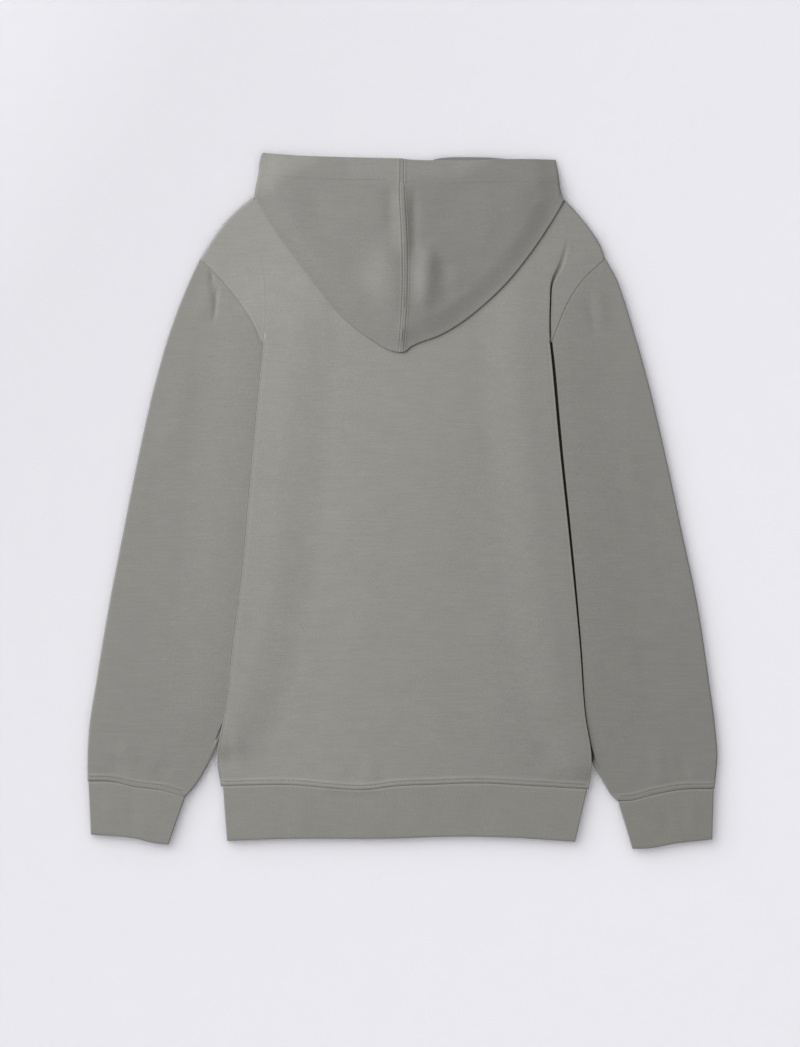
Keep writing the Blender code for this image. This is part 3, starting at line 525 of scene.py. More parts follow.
def add_cloth(name, grids, material, closed=False):
    """A wall of cloth on one or more grids of mid points that share their edges."""
    points, faces = [], []
    for grid in grids:
        rows, columns = grid.shape[:2]
        faces += [tuple(i + len(points) for i in face) for face in grid_faces(rows, columns, closed)]
        points += list(full(grid).reshape(-1, 5))
    made = add_object(name, points, faces, material)
    wall = made.modifiers.new("wall", "SOLIDIFY")
    wall.thickness = CLOTH * MM
    wall.offset = 0
    wall.vertex_group = "wall"
    return made


# The lie of the cloth


def fold_at(side, height):
    return smooth(FOLD[side], height)


def tuck_at(side, height):
    return np.maximum(smooth(TUCK[side], height), 0)


def armhole_foot(side):
    return ARMHOLE[side][-1][1]


def armhole_line(side):
    """Points along the armhole seam, from the shoulder point to the fold."""
    return along(ARMHOLE[side], even(ARMHOLE_STEPS))


def since_split(side, height, run):
    """0 to 1 over a run of heights, counted from the one at which the sleeve leaves the body."""
    return ease(height, SPLIT[side] + run[0], SPLIT[side] + run[1])


def until_settled(side, height):
    """1 up to the armhole's foot, and down to 0 where the fold has settled."""
    return 1 - ease(height, armhole_foot(side) + SETTLE_START, SETTLED[side])


def upper_mid(plan):
    """Mid height of the back panel and, outside its folds, of the sleeves' upper walls."""
    x, y = plan[..., 0], plan[..., 1]
    height = np.full(x.shape, BACK_MID)
    for side, way in OUTWARD.items():
        inside = way * (fold_at(side, y) - x)
        tuck = tuck_at(side, y)
        over, ridge = (since_split(side, y, run) * until_settled(side, y) for run in (FOLD_UP, RIDGE_UP))
        over *= (LIP_MID - BACK_MID) * (1 - ease(inside, tuck + FOLD_FALL[0], tuck + FOLD_FALL[1]))
        ridge *= RIDGE[side] * (1 - ease(-inside, *RIDGE_FALL))
        height += np.where(inside >= 0, over, ridge)
    return height


def seam_roll(distance):
    """Rise of the cloth at a distance from a band's seam, falling into it at the seam."""
    rise, place, width = SEAM_BULGE
    depth, run = SEAM_DIP
    roll = SEAM_ROLL * (1 - ease(distance, *SEAM_ROLL_RUN))
    roll += rise * bell(distance - place, width) - depth * (1 - ease(distance, 0, run))
    return roll - TOPSTITCH_DIP[0] * bell(distance - TOPSTITCH, TOPSTITCH_DIP[1])


def armhole_seam(side, plan):
    """Rise and painted shade of the cloth beside the armhole seam: it falls into the seam and is painted
    darker there.
    """
    distance = distance_to(plan, armhole_line(side))
    place, width = ARMHOLE_BULGE
    depth, run = ARMHOLE_DIP[side]
    roll = ARMHOLE_RIDGE[side] * bell(distance - place, width) - depth * (1 - ease(distance, 0, run))
    return roll, 1 - (1 - ARMHOLE_PAINTED_SHADE[side]) * (1 - ease(distance, *ARMHOLE_PAINTED_SHADE_RUN))


# Body


def corner(top, share, shade=1):
    """(inset, height, share, painted light and shade) of an edge's upper corner, the cloth thinned to a
    share.
    """
    half = HALF * share
    high = top + HALF - half
    places = [(half + CORNER_IN, high), (half, high), (half, high - CORNER_DOWN)]
    return [(*place, share, shade) for place in places]


def tucked_turn(side, depth):
    """The same where the back panel folds, runs back in over the sleeve and comes down, with painted light
    and shade on the cloth beside the groove.
    """
    radius = (LIP_MID - RETURN_MID) / 2
    depth = max(depth, HALF + radius)
    # painted light and shade on the cloth down beside the groove
    shade = GROOVE_PAINTED_LIGHT_AND_SHADE[side]
    return np.array(corner(LIP_MID, FOLD_SHARE[side], LIP_PAINTED_LIGHT[side]) + [
        (HALF + 0.1, LIP_MID - 1.5 * radius, 1, shade),
        (HALF + radius, RETURN_MID, 1, shade),
        (depth + 1.1, RETURN_MID - 0.2, 1, shade),
        (depth + 2.05, STAND_MID, 1, 1),
    ])


def open_turn(top):
    """The same where the back panel turns down at an edge to stand on the front panel."""
    heights = [top - 0.8, (top - 0.8 + STAND_MID) / 2, STAND_MID + 0.3, STAND_MID]
    return np.array(corner(top, EDGE_SHARE) + [(HALF, height, 1, 1) for height in heights])


def side_turn(side, height, top):
    """(inset, height, share, painted light and shade) across the side fold at a height up the body."""
    folded = since_split(side, height, FOLD_UP)
    foot, arm = armhole_foot(side), UNDERARM[side][1] + UNDERARM_EASE
    depth = float(tuck_at(side, height)) * float(1 - np.clip((height - arm) / (foot - arm), 0, 1))
    return folded * tucked_turn(side, depth) + (1 - folded) * open_turn(top)


def body_heights(side):
    """Heights of the rows from the hem seam to the armhole's foot."""
    start = HEM_SEAM[0][1] if side == "left" else HEM_SEAM[-1][1]
    start += SEAM / 2
    length = armhole_foot(side) - FOOT_ROWS[0] - start
    return start + length * rows_between(length, BAND_PLACES, BODY_ROWS, [0, FOOT_ROWS[0]])


def yoke_heights(side):
    """Heights of the fold's rows from the armhole's foot to the shoulder."""
    start = armhole_foot(side) + FOOT_ROWS[1]
    return start + (FOLD[side][-1][0] - start) * even(ARMHOLE_STEPS)


def side_strip(side):
    """Rows across one side of the back panel: round its fold, and above it out to the armhole seam."""
    way = OUTWARD[side]
    heights = body_heights(side)
    rows = []
    for height in heights:
        top = BACK_MID + float(seam_roll(height - heights[0]))
        turn = resample(side_turn(side, height, top), PROFILE_STEPS)
        fold = fold_at(side, height)
        rows.append([(fold - way * inset, height, *rest) for inset, *rest in turn])
    armhole = beside(armhole_line(side), -way * JOIN / 2)[::-1]
    armhole[0] += FOOT_CLEAR * np.array([-way, 1])
    shoulder = along(SHOULDER[side][:5], even(60))
    for i, height in enumerate(yoke_heights(side)):
        start = np.array([fold_at(side, height), height])
        rows.append(yoke_row(side, i / ARMHOLE_STEPS, start, armhole[i], shoulder))
    return np.array(rows)


def yoke_row(side, share, start, end, shoulder):
    """Points from the fold's crease out to the armhole seam, over the crease's groove, with painted shade in
    the groove and the seam.
    """
    width = np.hypot(*(end - start))
    groove, depth, shade = (smooth([(row[0], row[i]) for row in CREASE[side]], start[1]) for i in (1, 2, 3))
    groove = min(groove, 0.5 * width)
    beside_seam = max(0.3 * groove + 0.7 * width, width - SEAM_NEAR)
    steep = float(ease(depth, *CREASE_STEEP))
    near = max(LIP_NEAR[1] * steep, LIP_NEAR[0])
    # both lips of the groove, each with its next point, and the armhole seam
    stops = [-near, 0, groove, groove + near, beside_seam, width]
    places = np.interp(np.arange(PROFILE_STEPS + 1), YOKE_COLUMNS, stops)
    fractions = places / width
    # straight across, and bulging more like the shoulder the higher the row is
    plan = start + (end - start) * fractions[:, None]
    chord = shoulder[-1] + (shoulder[0] - shoulder[-1]) * np.clip(fractions, 0, 1)[:, None]
    plan = plan + share**2 * (along(shoulder[::-1], fractions) - chord)
    height = upper_mid(plan)
    in_groove = places <= groove + near + 1e-6
    t = places[in_groove] / groove
    down = ease(np.sin(math.pi * t), 0, 1.1 - 0.4 * steep)
    height[in_groove] = height[0] + (height[~in_groove][0] - height[0]) * ease(t, 0, 1) - depth * down
    roll, seam_painted_shade = armhole_seam(side, plan)
    row = full(with_height(plan, height + roll))
    row[in_groove, 3] = 1 - (1 - CREASE_SHARE) * steep
    # painted shade down in the crease's groove
    row[in_groove, 4] = 1 - (1 - shade) * ease(down, *CREASE_PAINTED_SHADE_RUN)
    row[:, 2] += HALF * (1 - row[:, 3])
    # painted shade in the armhole seam
    row[:, 4] *= seam_painted_shade
    return row


def hem_line(gap):
    """Points along the hem seam, one for each column of the panels."""
    xs = HEM_SEAM[0][0] + (HEM_SEAM[-1][0] - HEM_SEAM[0][0]) * even(PANEL_STEPS)
    return np.stack([xs, smooth(HEM_SEAM, xs) + gap], axis=-1)


def panel(left, right, shoulder, neck, hold=1):
    """Plan points of a panel between its sides, the hem seam, its shoulders and its neck."""
    bottom = hem_line(SEAM / 2)
    slopes = [along(SHOULDER[side][shoulder:], even(SHOULDER_STEPS)) for side in OUTWARD]
    top = np.concatenate([slopes[0][:-1], along(neck, even(NECK_STEPS)), slopes[1][-2::-1]])
    bottom[0], bottom[-1] = left[0], right[0]
    top[0], top[-1] = left[-1], right[-1]
    return patch(bottom, top, left, right, hold=hold)


def back_grid():
    """Mid points of the back panel, rows from the hem seam to the shoulders and neck."""
    left, right = (side_strip(side) for side in OUTWARD)
    plan = panel(left[:, 0, :2], right[:, 0, :2], -2, BACK_NECK)
    height = upper_mid(plan) + seam_roll(plan[..., 1] - plan[0, :, 1]) + creased("back_panel", plan)
    middle = full(with_height(plan, height))
    middle[BODY_COUNT:, 0], middle[BODY_COUNT:, -1] = left[BODY_COUNT:, 0], right[BODY_COUNT:, 0]
    grid = np.concatenate([left[:, :0:-1], middle, right[:, 1:]], axis=1)
    # painted light and shade across the back, lighter on the left and darker on the right
    grid[..., 4] *= smooth(BACK_PAINTED_SHADING, grid[..., 0])
    return turn_down(grid)


def turn_down(grid):
    """The grid with its last two rows replaced by three at its edge, which turn down at the shoulders."""
    edge = grid[-1]
    turns = np.ones(len(edge))
    first_neck = PROFILE_STEPS + SHOULDER_STEPS + 1
    turns[first_neck : first_neck + NECK_STEPS - 1] = 0
    rows = []
    for inset, drop in ((HALF + 1.2, 0), (HALF + 0.3, 0.45), (HALF, None)):
        plan = beside(edge[:, :2], -inset)
        low = STAND_MID if drop is None else edge[:, 2] - drop
        rows.append(full(with_height(plan, edge[:, 2] + turns * (low - edge[:, 2]))))
    return np.concatenate([grid[:-2], np.array(rows)])


def front_side(side):
    """Plan points up one side of the front panel, from the hem seam to the shoulder point."""
    way = OUTWARD[side]
    arm = UNDERARM[side]
    start = body_heights(side)[0]
    body = []
    for height in start + (arm[1] - UNDERARM_CLEAR - start) * even(FRONT_ROWS):
        inset = side_turn(side, height, BACK_MID)[-1][0]
        body.append((fold_at(side, height) - way * (inset - HALF), height))
    beneath_arm = [(arm[0] - way * 1.5, arm[1] - 1.0)]
    hidden = [np.array(arm) + (np.array(ARMHOLE[side][-1]) - arm) * f for f in (0.0, 0.5)]
    seam = beside(np.concatenate([hidden, armhole_line(side)[::-1]]), way * SEAM / 2)
    return np.concatenate([body, beneath_arm, seam[1:]])


def front_grid():
    """Mid points of the front panel."""
    return with_height(panel(front_side("left"), front_side("right"), 0, FRONT_NECK, FRONT_HOLD), FRONT_MID)


# Sleeves


def sleeve_inner(side, height):
    """Across, of the sleeve's inner edge: tucked in beside the body, then free."""
    way = OUTWARD[side]
    tucked = fold_at(side, height) - way * tuck_at(side, height)
    return np.where(height > SPLIT[side], tucked, smooth(SLEEVE_INNER_END[side], height))


def inset_ends(path, first, last):
    """A row of plan points with its two ends pulled in along it."""
    path = path.copy()
    for end, near, inset in ((0, 1, first), (-1, -2, last)):
        run = path[near] - path[end]
        path[end] += unit(run) * min(inset, 0.9 * np.hypot(*run))
    return path


def turned(middle, outward, run, rise, angles):
    """Points round an edge: out from a place by a run, and up and down by a rise."""
    points = []
    for angle in angles * math.pi:
        plan = middle[:2] + outward * run * math.sin(angle)
        points.append((*plan, middle[2] + rise * math.cos(angle)))
    return points


def sleeve_ring(side, outer, inner, roll, shade):
    """Points round one section: over the top from the outer edge, and back along the bottom."""
    top = upper_mid(outer) + roll
    free = 1 - float(since_split(side, inner[1], FREE_UP))
    low = NOSE_MID - (AIR if side == "right" else 0)
    end = low + free * (top[-1] - low)
    fold, edge = FOLD_SHARE[side] + free * (EDGE_SHARE - FOLD_SHARE[side]), 1 - free * (1 - EDGE_SHARE)
    # the nose: down beside the body's fold and in beneath it, or the free edge below the split
    in_turn = (end - FRONT_MID) / 2
    in_run = in_turn + free * (EDGE_RUN - in_turn)
    reach = np.hypot(*(inner - outer[-1])) - HALF * edge - in_run
    inward = unit(inner - outer[-1])
    runs, shares = np.array(GROOVE_WALL).T
    places = np.minimum(runs, reach * np.array([0.2, 0.4, 0.6]))
    places = np.append(places, [(places[-1] + reach) / 2, reach])
    nose = outer[-1] + inward * places[:, None]
    nosed = full(with_height(nose, end + (top[-1] - end) * np.append(shares, [0, 0])))
    nosed[:, 3] = fold, fold, fold, edge, edge
    # painted light and shade on the nose down in the groove, none where the edge is free
    nosed[:, 4] = 1 - (1 - free) * (1 - GROOVE_PAINTED_LIGHT_AND_SHADE[side])
    # the upper wall, with one more point close to its corner
    outer = inset_ends(outer, HALF * EDGE_SHARE + EDGE_RUN, 0)
    outward = unit(outer[0] - outer[1])
    outer = np.insert(outer, -1, outer[-1] + NOSE_CORNER * unit(outer[-2] - outer[-1]), axis=0)
    upper = full(with_height(outer, np.insert(top, -1, top[-1])))
    upper[[0, -2, -1], 3] = EDGE_SHARE, fold, fold
    # painted shade in the armhole seam
    upper[:, 4] = np.insert(shade, -1, shade[-1])
    # painted light at the corners beside the groove
    upper[[-2, -1], 4] *= 1 - (1 - free) * (1 - LIP_PAINTED_LIGHT[side])
    # both edges, turned down to the lower wall
    lower = full(with_height(np.concatenate([outer, nose[[2, 4]]])[::-1], FRONT_MID))
    turn = (top[0] - FRONT_MID) / 2
    in_turned = full(turned((*nose[-1], FRONT_MID + in_turn), inward, in_run, in_turn, TURN_ANGLES))
    in_turned[:, 3] = edge + (1 - edge) * TURN_ANGLES
    # painted light round the free inner edge
    in_turned[:, 4] = 1 + free * EDGE_PAINTED_LIGHT[side]
    back = TURN_ANGLES[::-1]
    out_turned = full(turned((*outer[0], FRONT_MID + turn), outward, EDGE_RUN, turn, back))
    out_turned[:, 3] = EDGE_SHARE + (1 - EDGE_SHARE) * back
    ring = np.concatenate([upper, nosed, in_turned, lower, out_turned])
    ring[:, 2] += HALF * (1 - ring[:, 3])
    return ring


def cuff_line(side, gap):
    """Points along the cuff seam, one for each column of the sleeve."""
    return along(CUFF_SEAM[side], even(CUFF_STEPS)) + (0, gap)


def sleeve_grid(side):
    """Rings of mid points from the armhole to the cuff seam."""
    way = OUTWARD[side]
    steps = rows_between(SLEEVE_RUN, ARMHOLE_PLACES, SLEEVE_ROWS, BAND_PLACES)
    seam = cuff_line(side, SEAM / 2)
    armhole = beside(armhole_line(side), way * JOIN / 2)
    arm = np.array(UNDERARM[side], float)
    outer_heights = armhole[0, 1] + (seam[0, 1] - armhole[0, 1]) * steps
    inner_heights = arm[1] + (seam[-1, 1] - arm[1]) * steps
    inner = np.stack([sleeve_inner(side, inner_heights), inner_heights], 1)
    outer = np.stack([smooth(SLEEVE_OUTER[side], outer_heights), outer_heights], 1)
    outer[0] = armhole[0]
    groove_heights = armhole[-1, 1] + (inner_heights[-1] - armhole[-1, 1]) * steps
    outside = way * fold_at(side, groove_heights) + smooth(GROOVE[side], groove_heights)
    outside += HALF * FOLD_SHARE[side]
    ending = way * (sleeve_inner(side, groove_heights) + way * NOSE_LEAST)
    groove = np.stack([way * np.maximum(outside, ending), groove_heights], 1)
    groove[0] = armhole[-1]
    groove[-1], outer[-1] = seam[-2], seam[0]
    plan = patch(armhole, seam[:-1], outer, groove)
    # the armhole seam's rise and painted shade
    roll, shade = armhole_seam(side, plan)
    roll += creased("sleeve_" + side, plan) + seam_roll(np.hypot(*np.moveaxis(plan - plan[-1], -1, 0)))
    return np.array([sleeve_ring(side, *rows) for rows in zip(plan, inner, roll, shade)])


# Hood


def centre_line(side, start, end, steps):
    """Plan points up one side of the centre seam."""
    heights = start + (end - start) * even(steps)
    return np.stack([smooth(CENTRE_SEAM, heights) + OUTWARD[side] * JOIN / 2, heights], axis=1)


def on_centre(side, height):
    """The plan point of one side of the centre seam at a height."""
    return centre_line(side, height, height, 0)[0]


def past_body(plan):
    """How far points lie above the body's shoulders and back neck."""
    line = SHOULDER["left"] + BACK_NECK[1:-1] + SHOULDER["right"][::-1]
    return plan[..., 1] - np.interp(plan[..., 0], *np.array(line).T)


def pressed(side, plan):
    """Share of the cloth's full thickness at plan points of the hood."""
    inside = distance_to(plan, hood_outline(side)[::4])
    return HOOD_EDGE + (1 - HOOD_EDGE) * ease(inside, *HOOD_EDGE_RUN)


def settled(plan, run, share):
    """Mid height of hood cloth on the body, coming down to the surface past the body's top."""
    high = upper_mid(plan) + HOOD_LAYER * (0.5 + 0.5 * share)
    low = REST_GAP + HALF * share
    return high + (low - high) * ease(past_body(plan), *run)


def pressed_wall(side, plan, height):
    """Points of a hood wall with the share of its thickness."""
    wall = full(with_height(plan, height))
    wall[..., 3] = pressed(side, plan)
    return wall


def hood_over(side, plan):
    """Mid height of the hood's outer wall."""
    x, y = plan[..., 0], plan[..., 1]
    low = np.where(x < 0, smooth(HOOD_LOW["left"][::-1], x), smooth(HOOD_LOW["right"], x))
    loft = HOOD_LOFT * ease(y - low, *LOFT_UP) * (1 - ease(past_body(plan), *LOFT_DOWN))
    window = ease(y, *RIDGE_RUN[:2]) * (1 - ease(y, *RIDGE_RUN[2:]))
    off = x - smooth(CENTRE_SEAM, y)
    ridge = CENTRE_RIDGE["rise"] * bell(off, CENTRE_RIDGE["width"])
    ridge -= HOOD_TROUGH["depth"] * bell(x - HOOD_TROUGH["across"], HOOD_TROUGH["width"])
    share = pressed(side, plan)
    height = settled(plan, OUTER_SETTLE, share) + HOOD_LAYER * share + loft + window * ridge
    return height + sewn_hood(side, plan) + creased("hood_" + side, plan)


def sewn_hood(side, plan):
    """Rise of the hood's centre seam and casing."""
    x, y = plan[..., 0], plan[..., 1]
    off = np.abs(x - smooth(CENTRE_SEAM, y))
    start, end = CENTRE_RISE_RUN
    depth, run = CENTRE_DIP
    centre = CENTRE_RISE * (1 - ease(off, TWIN + start, TWIN + end)) - depth * (1 - ease(off, 0, run))
    centre -= TWIN_DIP[0] * bell(off - twin_at(y), TWIN_DIP[1])
    places, tops = zip(*sorted(HOOD_TOP[side]))
    down = np.interp(x, places, tops) - y
    return centre + CASING_RISE * (1 - ease(down, CASING - CASING_RUN, CASING + CASING_RUN))


def twin_at(height):
    """Distance of each row of stitches from the hood's centre seam, less within the casing."""
    return TWIN - ease(height, *TWIN_TURN)


def hood_outline(side):
    """Plan points along a half's folded edge, from the tip to the top corner."""
    low = along(HOOD_LOW[side], hood_columns())
    return np.concatenate([low, along(HOOD_SIDE[side], even(SIDE_ROWS))[1:]])


def hood_columns():
    """Shares of a half's width, closer together beside the centre seam."""
    near = CENTRE_PLACES / HOOD_WIDTH
    beyond = even(HOOD_STEPS - len(near) + 1)[1:] ** 1.25
    return np.concatenate([near, near[-1] + (1 - near[-1]) * beyond])


def inside_outline(side, depth):
    """The folded edge's points moved in from its outline."""
    outline = hood_outline(side)
    moved = beside(outline, OUTWARD[side] * depth)
    moved[0] = on_centre(side, outline[0, 1] + depth)
    moved[0, 0] += OUTWARD[side] * SEAM
    return moved


def outer_wall(side, edge):
    """The half that shows, from its folded edge to the rim."""
    low, fold = edge[: HOOD_STEPS + 1], edge[HOOD_STEPS:]
    top = along(HOOD_TOP[side], hood_columns())
    top[0], top[-1] = on_centre(side, top[0, 1]), fold[-1]
    seam = centre_line(side, low[0, 1], top[0, 1], len(fold) - 1)
    plan = patch(low, top, seam, fold, hood_columns())
    wall = pressed_wall(side, plan, hood_over(side, plan))
    # painted highlights and shade in soft patches
    for x, y, wide, tall, more in HOOD_PAINTED_SHADING:
        off = ((plan[..., 0] - x) / wide) ** 2 + ((plan[..., 1] - y) / tall) ** 2
        wall[..., 4] += more * np.exp(-off)
    return wall


def inner_wall(side, edge, shoulder):
    """The hidden wall on the back, from the folded edge to the back of the neck."""
    low = edge[: HOOD_STEPS + 1]
    half = [point for point in BACK_NECK if OUTWARD[side] * (point[0] - BACK_NECK[2][0]) >= 0]
    neck = along(half if side == "right" else half[::-1], hood_columns())
    neck[0] = on_centre(side, neck[0, 1])
    seam = centre_line(side, low[0, 1], neck[0, 1], HOOD_UNDER_ROWS)
    plan = patch(low, neck, seam, shoulder, hood_columns())
    return pressed_wall(side, plan, upper_mid(plan) + HOOD_LAYER * (0.5 + 0.5 * pressed(side, plan)))


def shoulder_wall(side, edge, shoulder):
    """The hidden wall past the shoulder, from the side fold to beside the neck."""
    neck_x, neck_y = NECK_POINT[side]
    rim = along(RIM_OUTER[side], even(HOOD_UNDER_ROWS))
    fold = edge[HOOD_STEPS:]
    past = even(SIDE_ROWS) * (rim[-1, 1] - neck_y)
    beside_neck = np.stack([np.full(len(past), neck_x), neck_y + past], axis=1)
    rim[0] = fold[-1]
    plan = patch(shoulder, rim, fold, beside_neck)
    return pressed_wall(side, plan, settled(plan, INNER_SETTLE, pressed(side, plan)))


def throat(side, start):
    """The hidden wall within the neck, from beside it to the middle of the front neckline."""
    way = OUTWARD[side]
    front = along(FRONT_NECK, even(NECK_STEPS))
    front = front[: NECK_STEPS // 2 + 1] if side == "left" else front[NECK_STEPS // 2 :][::-1]
    front = beside(front, -way * SEAM)
    front[-1, 0] = FRONT_NECK[3][0] + way * SEAM / 2
    beside_neck = NECK_POINT[side] + np.array([(0, 0), (-way * 3, 1.8), (-way * 6, -0.5)])
    steps = 0.1 + 0.9 * even(THROAT_COUNT)
    low = np.concatenate([beside_neck, on_line(front, steps)])
    rim = along(RIM_INNER[side], [0, 0.03, 0.07, *(0.07 + 0.93 * steps)])
    plan = low + even(SIDE_ROWS)[:, None, None] * (rim - low)
    drop = np.array([1, 0.6] + [0] * (len(low) - 2))
    low_mid = HALF + REST_GAP
    return pressed_wall(side, plan, low_mid + (start[:, None, 2] - low_mid) * drop)


def hood_grids(side):
    """The outer wall, the fold round its edge, and the parts of the inner wall."""
    edge = inside_outline(side, HOOD_EDGE * (HALF + HOOD_LAYER / 2))
    crossing = edge[HOOD_STEPS]
    shoulder = crossing + (np.array(NECK_POINT[side]) - crossing) * even(HOOD_UNDER_ROWS)[:, None]
    outer = outer_wall(side, edge)
    inner, beyond = inner_wall(side, edge, shoulder), shoulder_wall(side, edge, shoulder)
    inner[:, -1, 2] = beyond[0, :, 2]
    high = np.concatenate([outer[0], outer[1:, -1]])
    low = np.concatenate([inner[0], beyond[1:, 0]])
    turn = fold_round(high, low, inside_outline(side, HOOD_EDGE * HALF) - edge)
    return [outer, turn, inner, beyond, throat(side, beyond[:, -1])]


def fold_round(high, low, outward):
    """Rows of a fold from an upper edge round to a lower one, bulging outwards by a plan vector."""
    rows = [high]
    for angle in (0.2, 0.4, 0.6, 0.8):
        row = (high + low) / 2
        row[:, 2] += math.cos(angle * math.pi) * (high - low)[:, 2] / 2
        row[:, :2] += math.sin(angle * math.pi) * outward[:, :2]
        rows.append(row)
    return np.array(rows + [low])


# Rib bands


def band_loop(name, line, out, rise, ribs):
    """Points round a flattened rib tube, at a distance out from the middle of its wall."""
    turn = (RIB_TOP_MID - RIB_LOW_MID) / 2
    count = RIB_SAMPLES * ribs
    plan = on_line(line, even(count))
    wave = rise * (0.5 - 0.5 * np.cos(2 * math.pi * np.arange(count + 1) / RIB_SAMPLES))
    upper = with_height(plan, RIB_TOP_MID + out + wave + creased(name, plan))
    lower = with_height(line[::-1], RIB_LOW_MID - out)
    turns = []
    for end, near, angles in ((-1, -2, TURN_ANGLES), (0, 1, TURN_ANGLES[::-1])):
        middle = (*line[end], RIB_LOW_MID + turn)
        run = BAND_RUN if out > 0 else 0.05
        turns.append(turned(middle, unit(line[end] - line[near]), run, turn + out, angles))
    return np.concatenate([upper, turns[0], lower, turns[1]])


def add_band(name, creases, seam, edge, material):
    """A flattened rib tube from its seam to its folded edge, with ribs raised on its upper side."""
    half = RIB_CLOTH / 2
    ribs = round(np.hypot(*(seam[-1] - seam[0])) / RIB_PITCH)

    def loop(share, out, rise):
        line = inset_ends(edge + (seam - edge) * share, BAND_RUN, BAND_RUN)
        return band_loop(creases, line, out, rise, ribs)

    loops = [loop(1, half - 0.7, RIB_RISE / 2)]
    loops += [loop(share, half, RIB_RISE) for share in BAND_LINES]
    loops += [loop(share, half * out, RIB_RISE * rise) for share, out, rise in BAND_TURN]
    loops += [loop(BAND_LINES[-1], -half, 0), loop(1, -half, 0), loops[0]]
    faces = grid_faces(len(loops), len(loops[0]), closed=True)
    return add_object(name, np.concatenate(loops), faces, material)


# Stitches


def surface_of(piece):
    """A function from a plan point to the height of a piece's top, or to None off the piece."""
    tree = BVHTree.FromObject(piece, bpy.context.evaluated_depsgraph_get())

    def at(x, y):
        start = Vector(((x - MIDDLE[0]) * MM, (y - MIDDLE[1]) * MM, 0.1))
        place = tree.ray_cast(start, Vector((0, 0, -1)))[0]
        return None if place is None else place.z / MM

    return at


def stitch(top, centre, ahead):
    """Points of one raised stitch, ring after ring, or none where a ring is off the cloth."""
    aside = np.array([-ahead[1], ahead[0]])
    points = []
    for share, size, lift in STITCH_RINGS:
        middle = centre + ahead * share * STITCH_LENGTH
        height = top(*middle)
        if height is None:
            return []
        for angle in np.arange(STITCH_SIDES) * 2 * math.pi / STITCH_SIDES:
            spot = middle + aside * math.cos(angle) * STITCH_RADIUS * size
            points.append((*spot, height + THREAD_LIFT + lift + math.sin(angle) * STITCH_RADIUS * size))
    return points


def add_stitches(name, piece, line, thread):
    """Short raised stitches along a plan line on a piece's top."""
    top = surface_of(piece)
    run = lengths(line)[-1]
    ends = [range(STITCH_SIDES)[::-1], range(len(STITCH_RINGS) * STITCH_SIDES)[-STITCH_SIDES:]]
    sides = grid_faces(len(STITCH_RINGS), STITCH_SIDES, closed=True) + ends
    points, faces = [], []
    for place in (np.arange(int(run / STITCH_PITCH)) + 0.5) * STITCH_PITCH / run:
        centre, behind, before = on_line(line, [place, max(place - 0.002, 0), min(place + 0.002, 1)])
        made = stitch(top, centre, unit(before - behind))
        if made:
            faces += [tuple(len(points) + i for i in face) for face in sides]
            points += made
    return add_object(name, points, faces, thread)


def seam_twin(way):
    """One row of stitches beside the hood's centre seam."""
    heights = np.linspace(*TWIN_ENDS, 80)
    return np.stack([smooth(CENTRE_SEAM, heights) + way * twin_at(heights), heights], 1)


def casing_line(side):
    """The casing's stitches, a fixed distance below the hood's rim."""
    line = along(HOOD_TOP[side], even(60)) - (0, CASING)
    inner, outer = sorted([smooth(CENTRE_SEAM, TWIN_TURN[1]), OUTWARD[side] * CASING_END[side]])
    return line[(line[:, 0] > inner + 1) & (line[:, 0] < outer - 1)]


# Materials
FIBRES = 700  # features to the metre, as all scales here
SLUBS = 420
CLOUDS = 60
GRAIN = 900
FIBRE_RELIEF = 0.0004  # metres
SLUB_RELIEF = 0.0003


def surface(name):
    """A new material, its nodes and its shader."""
    material = bpy.data.materials.new(name)
    material.use_nodes = True
    return material, material.node_tree, material.node_tree.nodes["Principled BSDF"]


def connect(tree, made, inputs):
    """Gives a node's inputs, by name or number, their values or links."""
    for key, value in inputs.items():
        if isinstance(value, bpy.types.NodeSocket):
            tree.links.new(value, made.inputs[key])
        else:
            made.inputs[key].default_value = value


def node(tree, kind, inputs, **settings):
    """A new shader node."""
    made = tree.nodes.new(kind)
    for key, value in settings.items():
        setattr(made, key, value)
    connect(tree, made, inputs)
    return made


def own_place(tree):
    """A link to places on the object."""
    return node(tree, "ShaderNodeTexCoord", {}).outputs["Object"]


def noise(tree, scale, stretch=(1, 1, 1), detail=2, rough=0.5):
    """A noise field over the object, its scale in features to the metre."""
    mapping = node(tree, "ShaderNodeMapping", {"Vector": own_place(tree), "Scale": stretch})
    inputs = {"Vector": mapping.outputs["Vector"], "Scale": scale, "Detail": detail, "Roughness": rough}
    return node(tree, "ShaderNodeTexNoise", inputs).outputs["Fac"]


def blend(tree, kind, factor, first, second):
    """One colour, or link, mixed with another."""
    inputs = {0: factor, 6: first, 7: second}
    return node(tree, "ShaderNodeMix", inputs, data_type="RGBA", blend_type=kind).outputs[2]


def times(tree, colour, number):
    """A colour multiplied by a number's link."""
    grey = node(tree, "ShaderNodeCombineColor", dict.fromkeys(range(3), number)).outputs[0]
    return blend(tree, "MULTIPLY", 1.0, colour, grey)


def remap(tree, value, low, high, to_low, to_high):
    """A link's values from one range moved to another."""
    inputs = {"Value": value, "From Min": low, "From Max": high, "To Min": to_low, "To Max": to_high}
    return node(tree, "ShaderNodeMapRange", inputs).outputs["Result"]


def maths(tree, operation, *values):
    """The result of a sum on numbers or links."""
    return node(tree, "ShaderNodeMath", dict(enumerate(values)), operation=operation).outputs[0]


def bumped(tree, height, distance, strength, under=None):
    """A normal bent by a relief, over another normal if one is given."""
    made = node(tree, "ShaderNodeBump", {"Height": height, "Distance": distance, "Strength": strength})
    if under is not None:
        connect(tree, made, {"Normal": under})
    return made.outputs["Normal"]


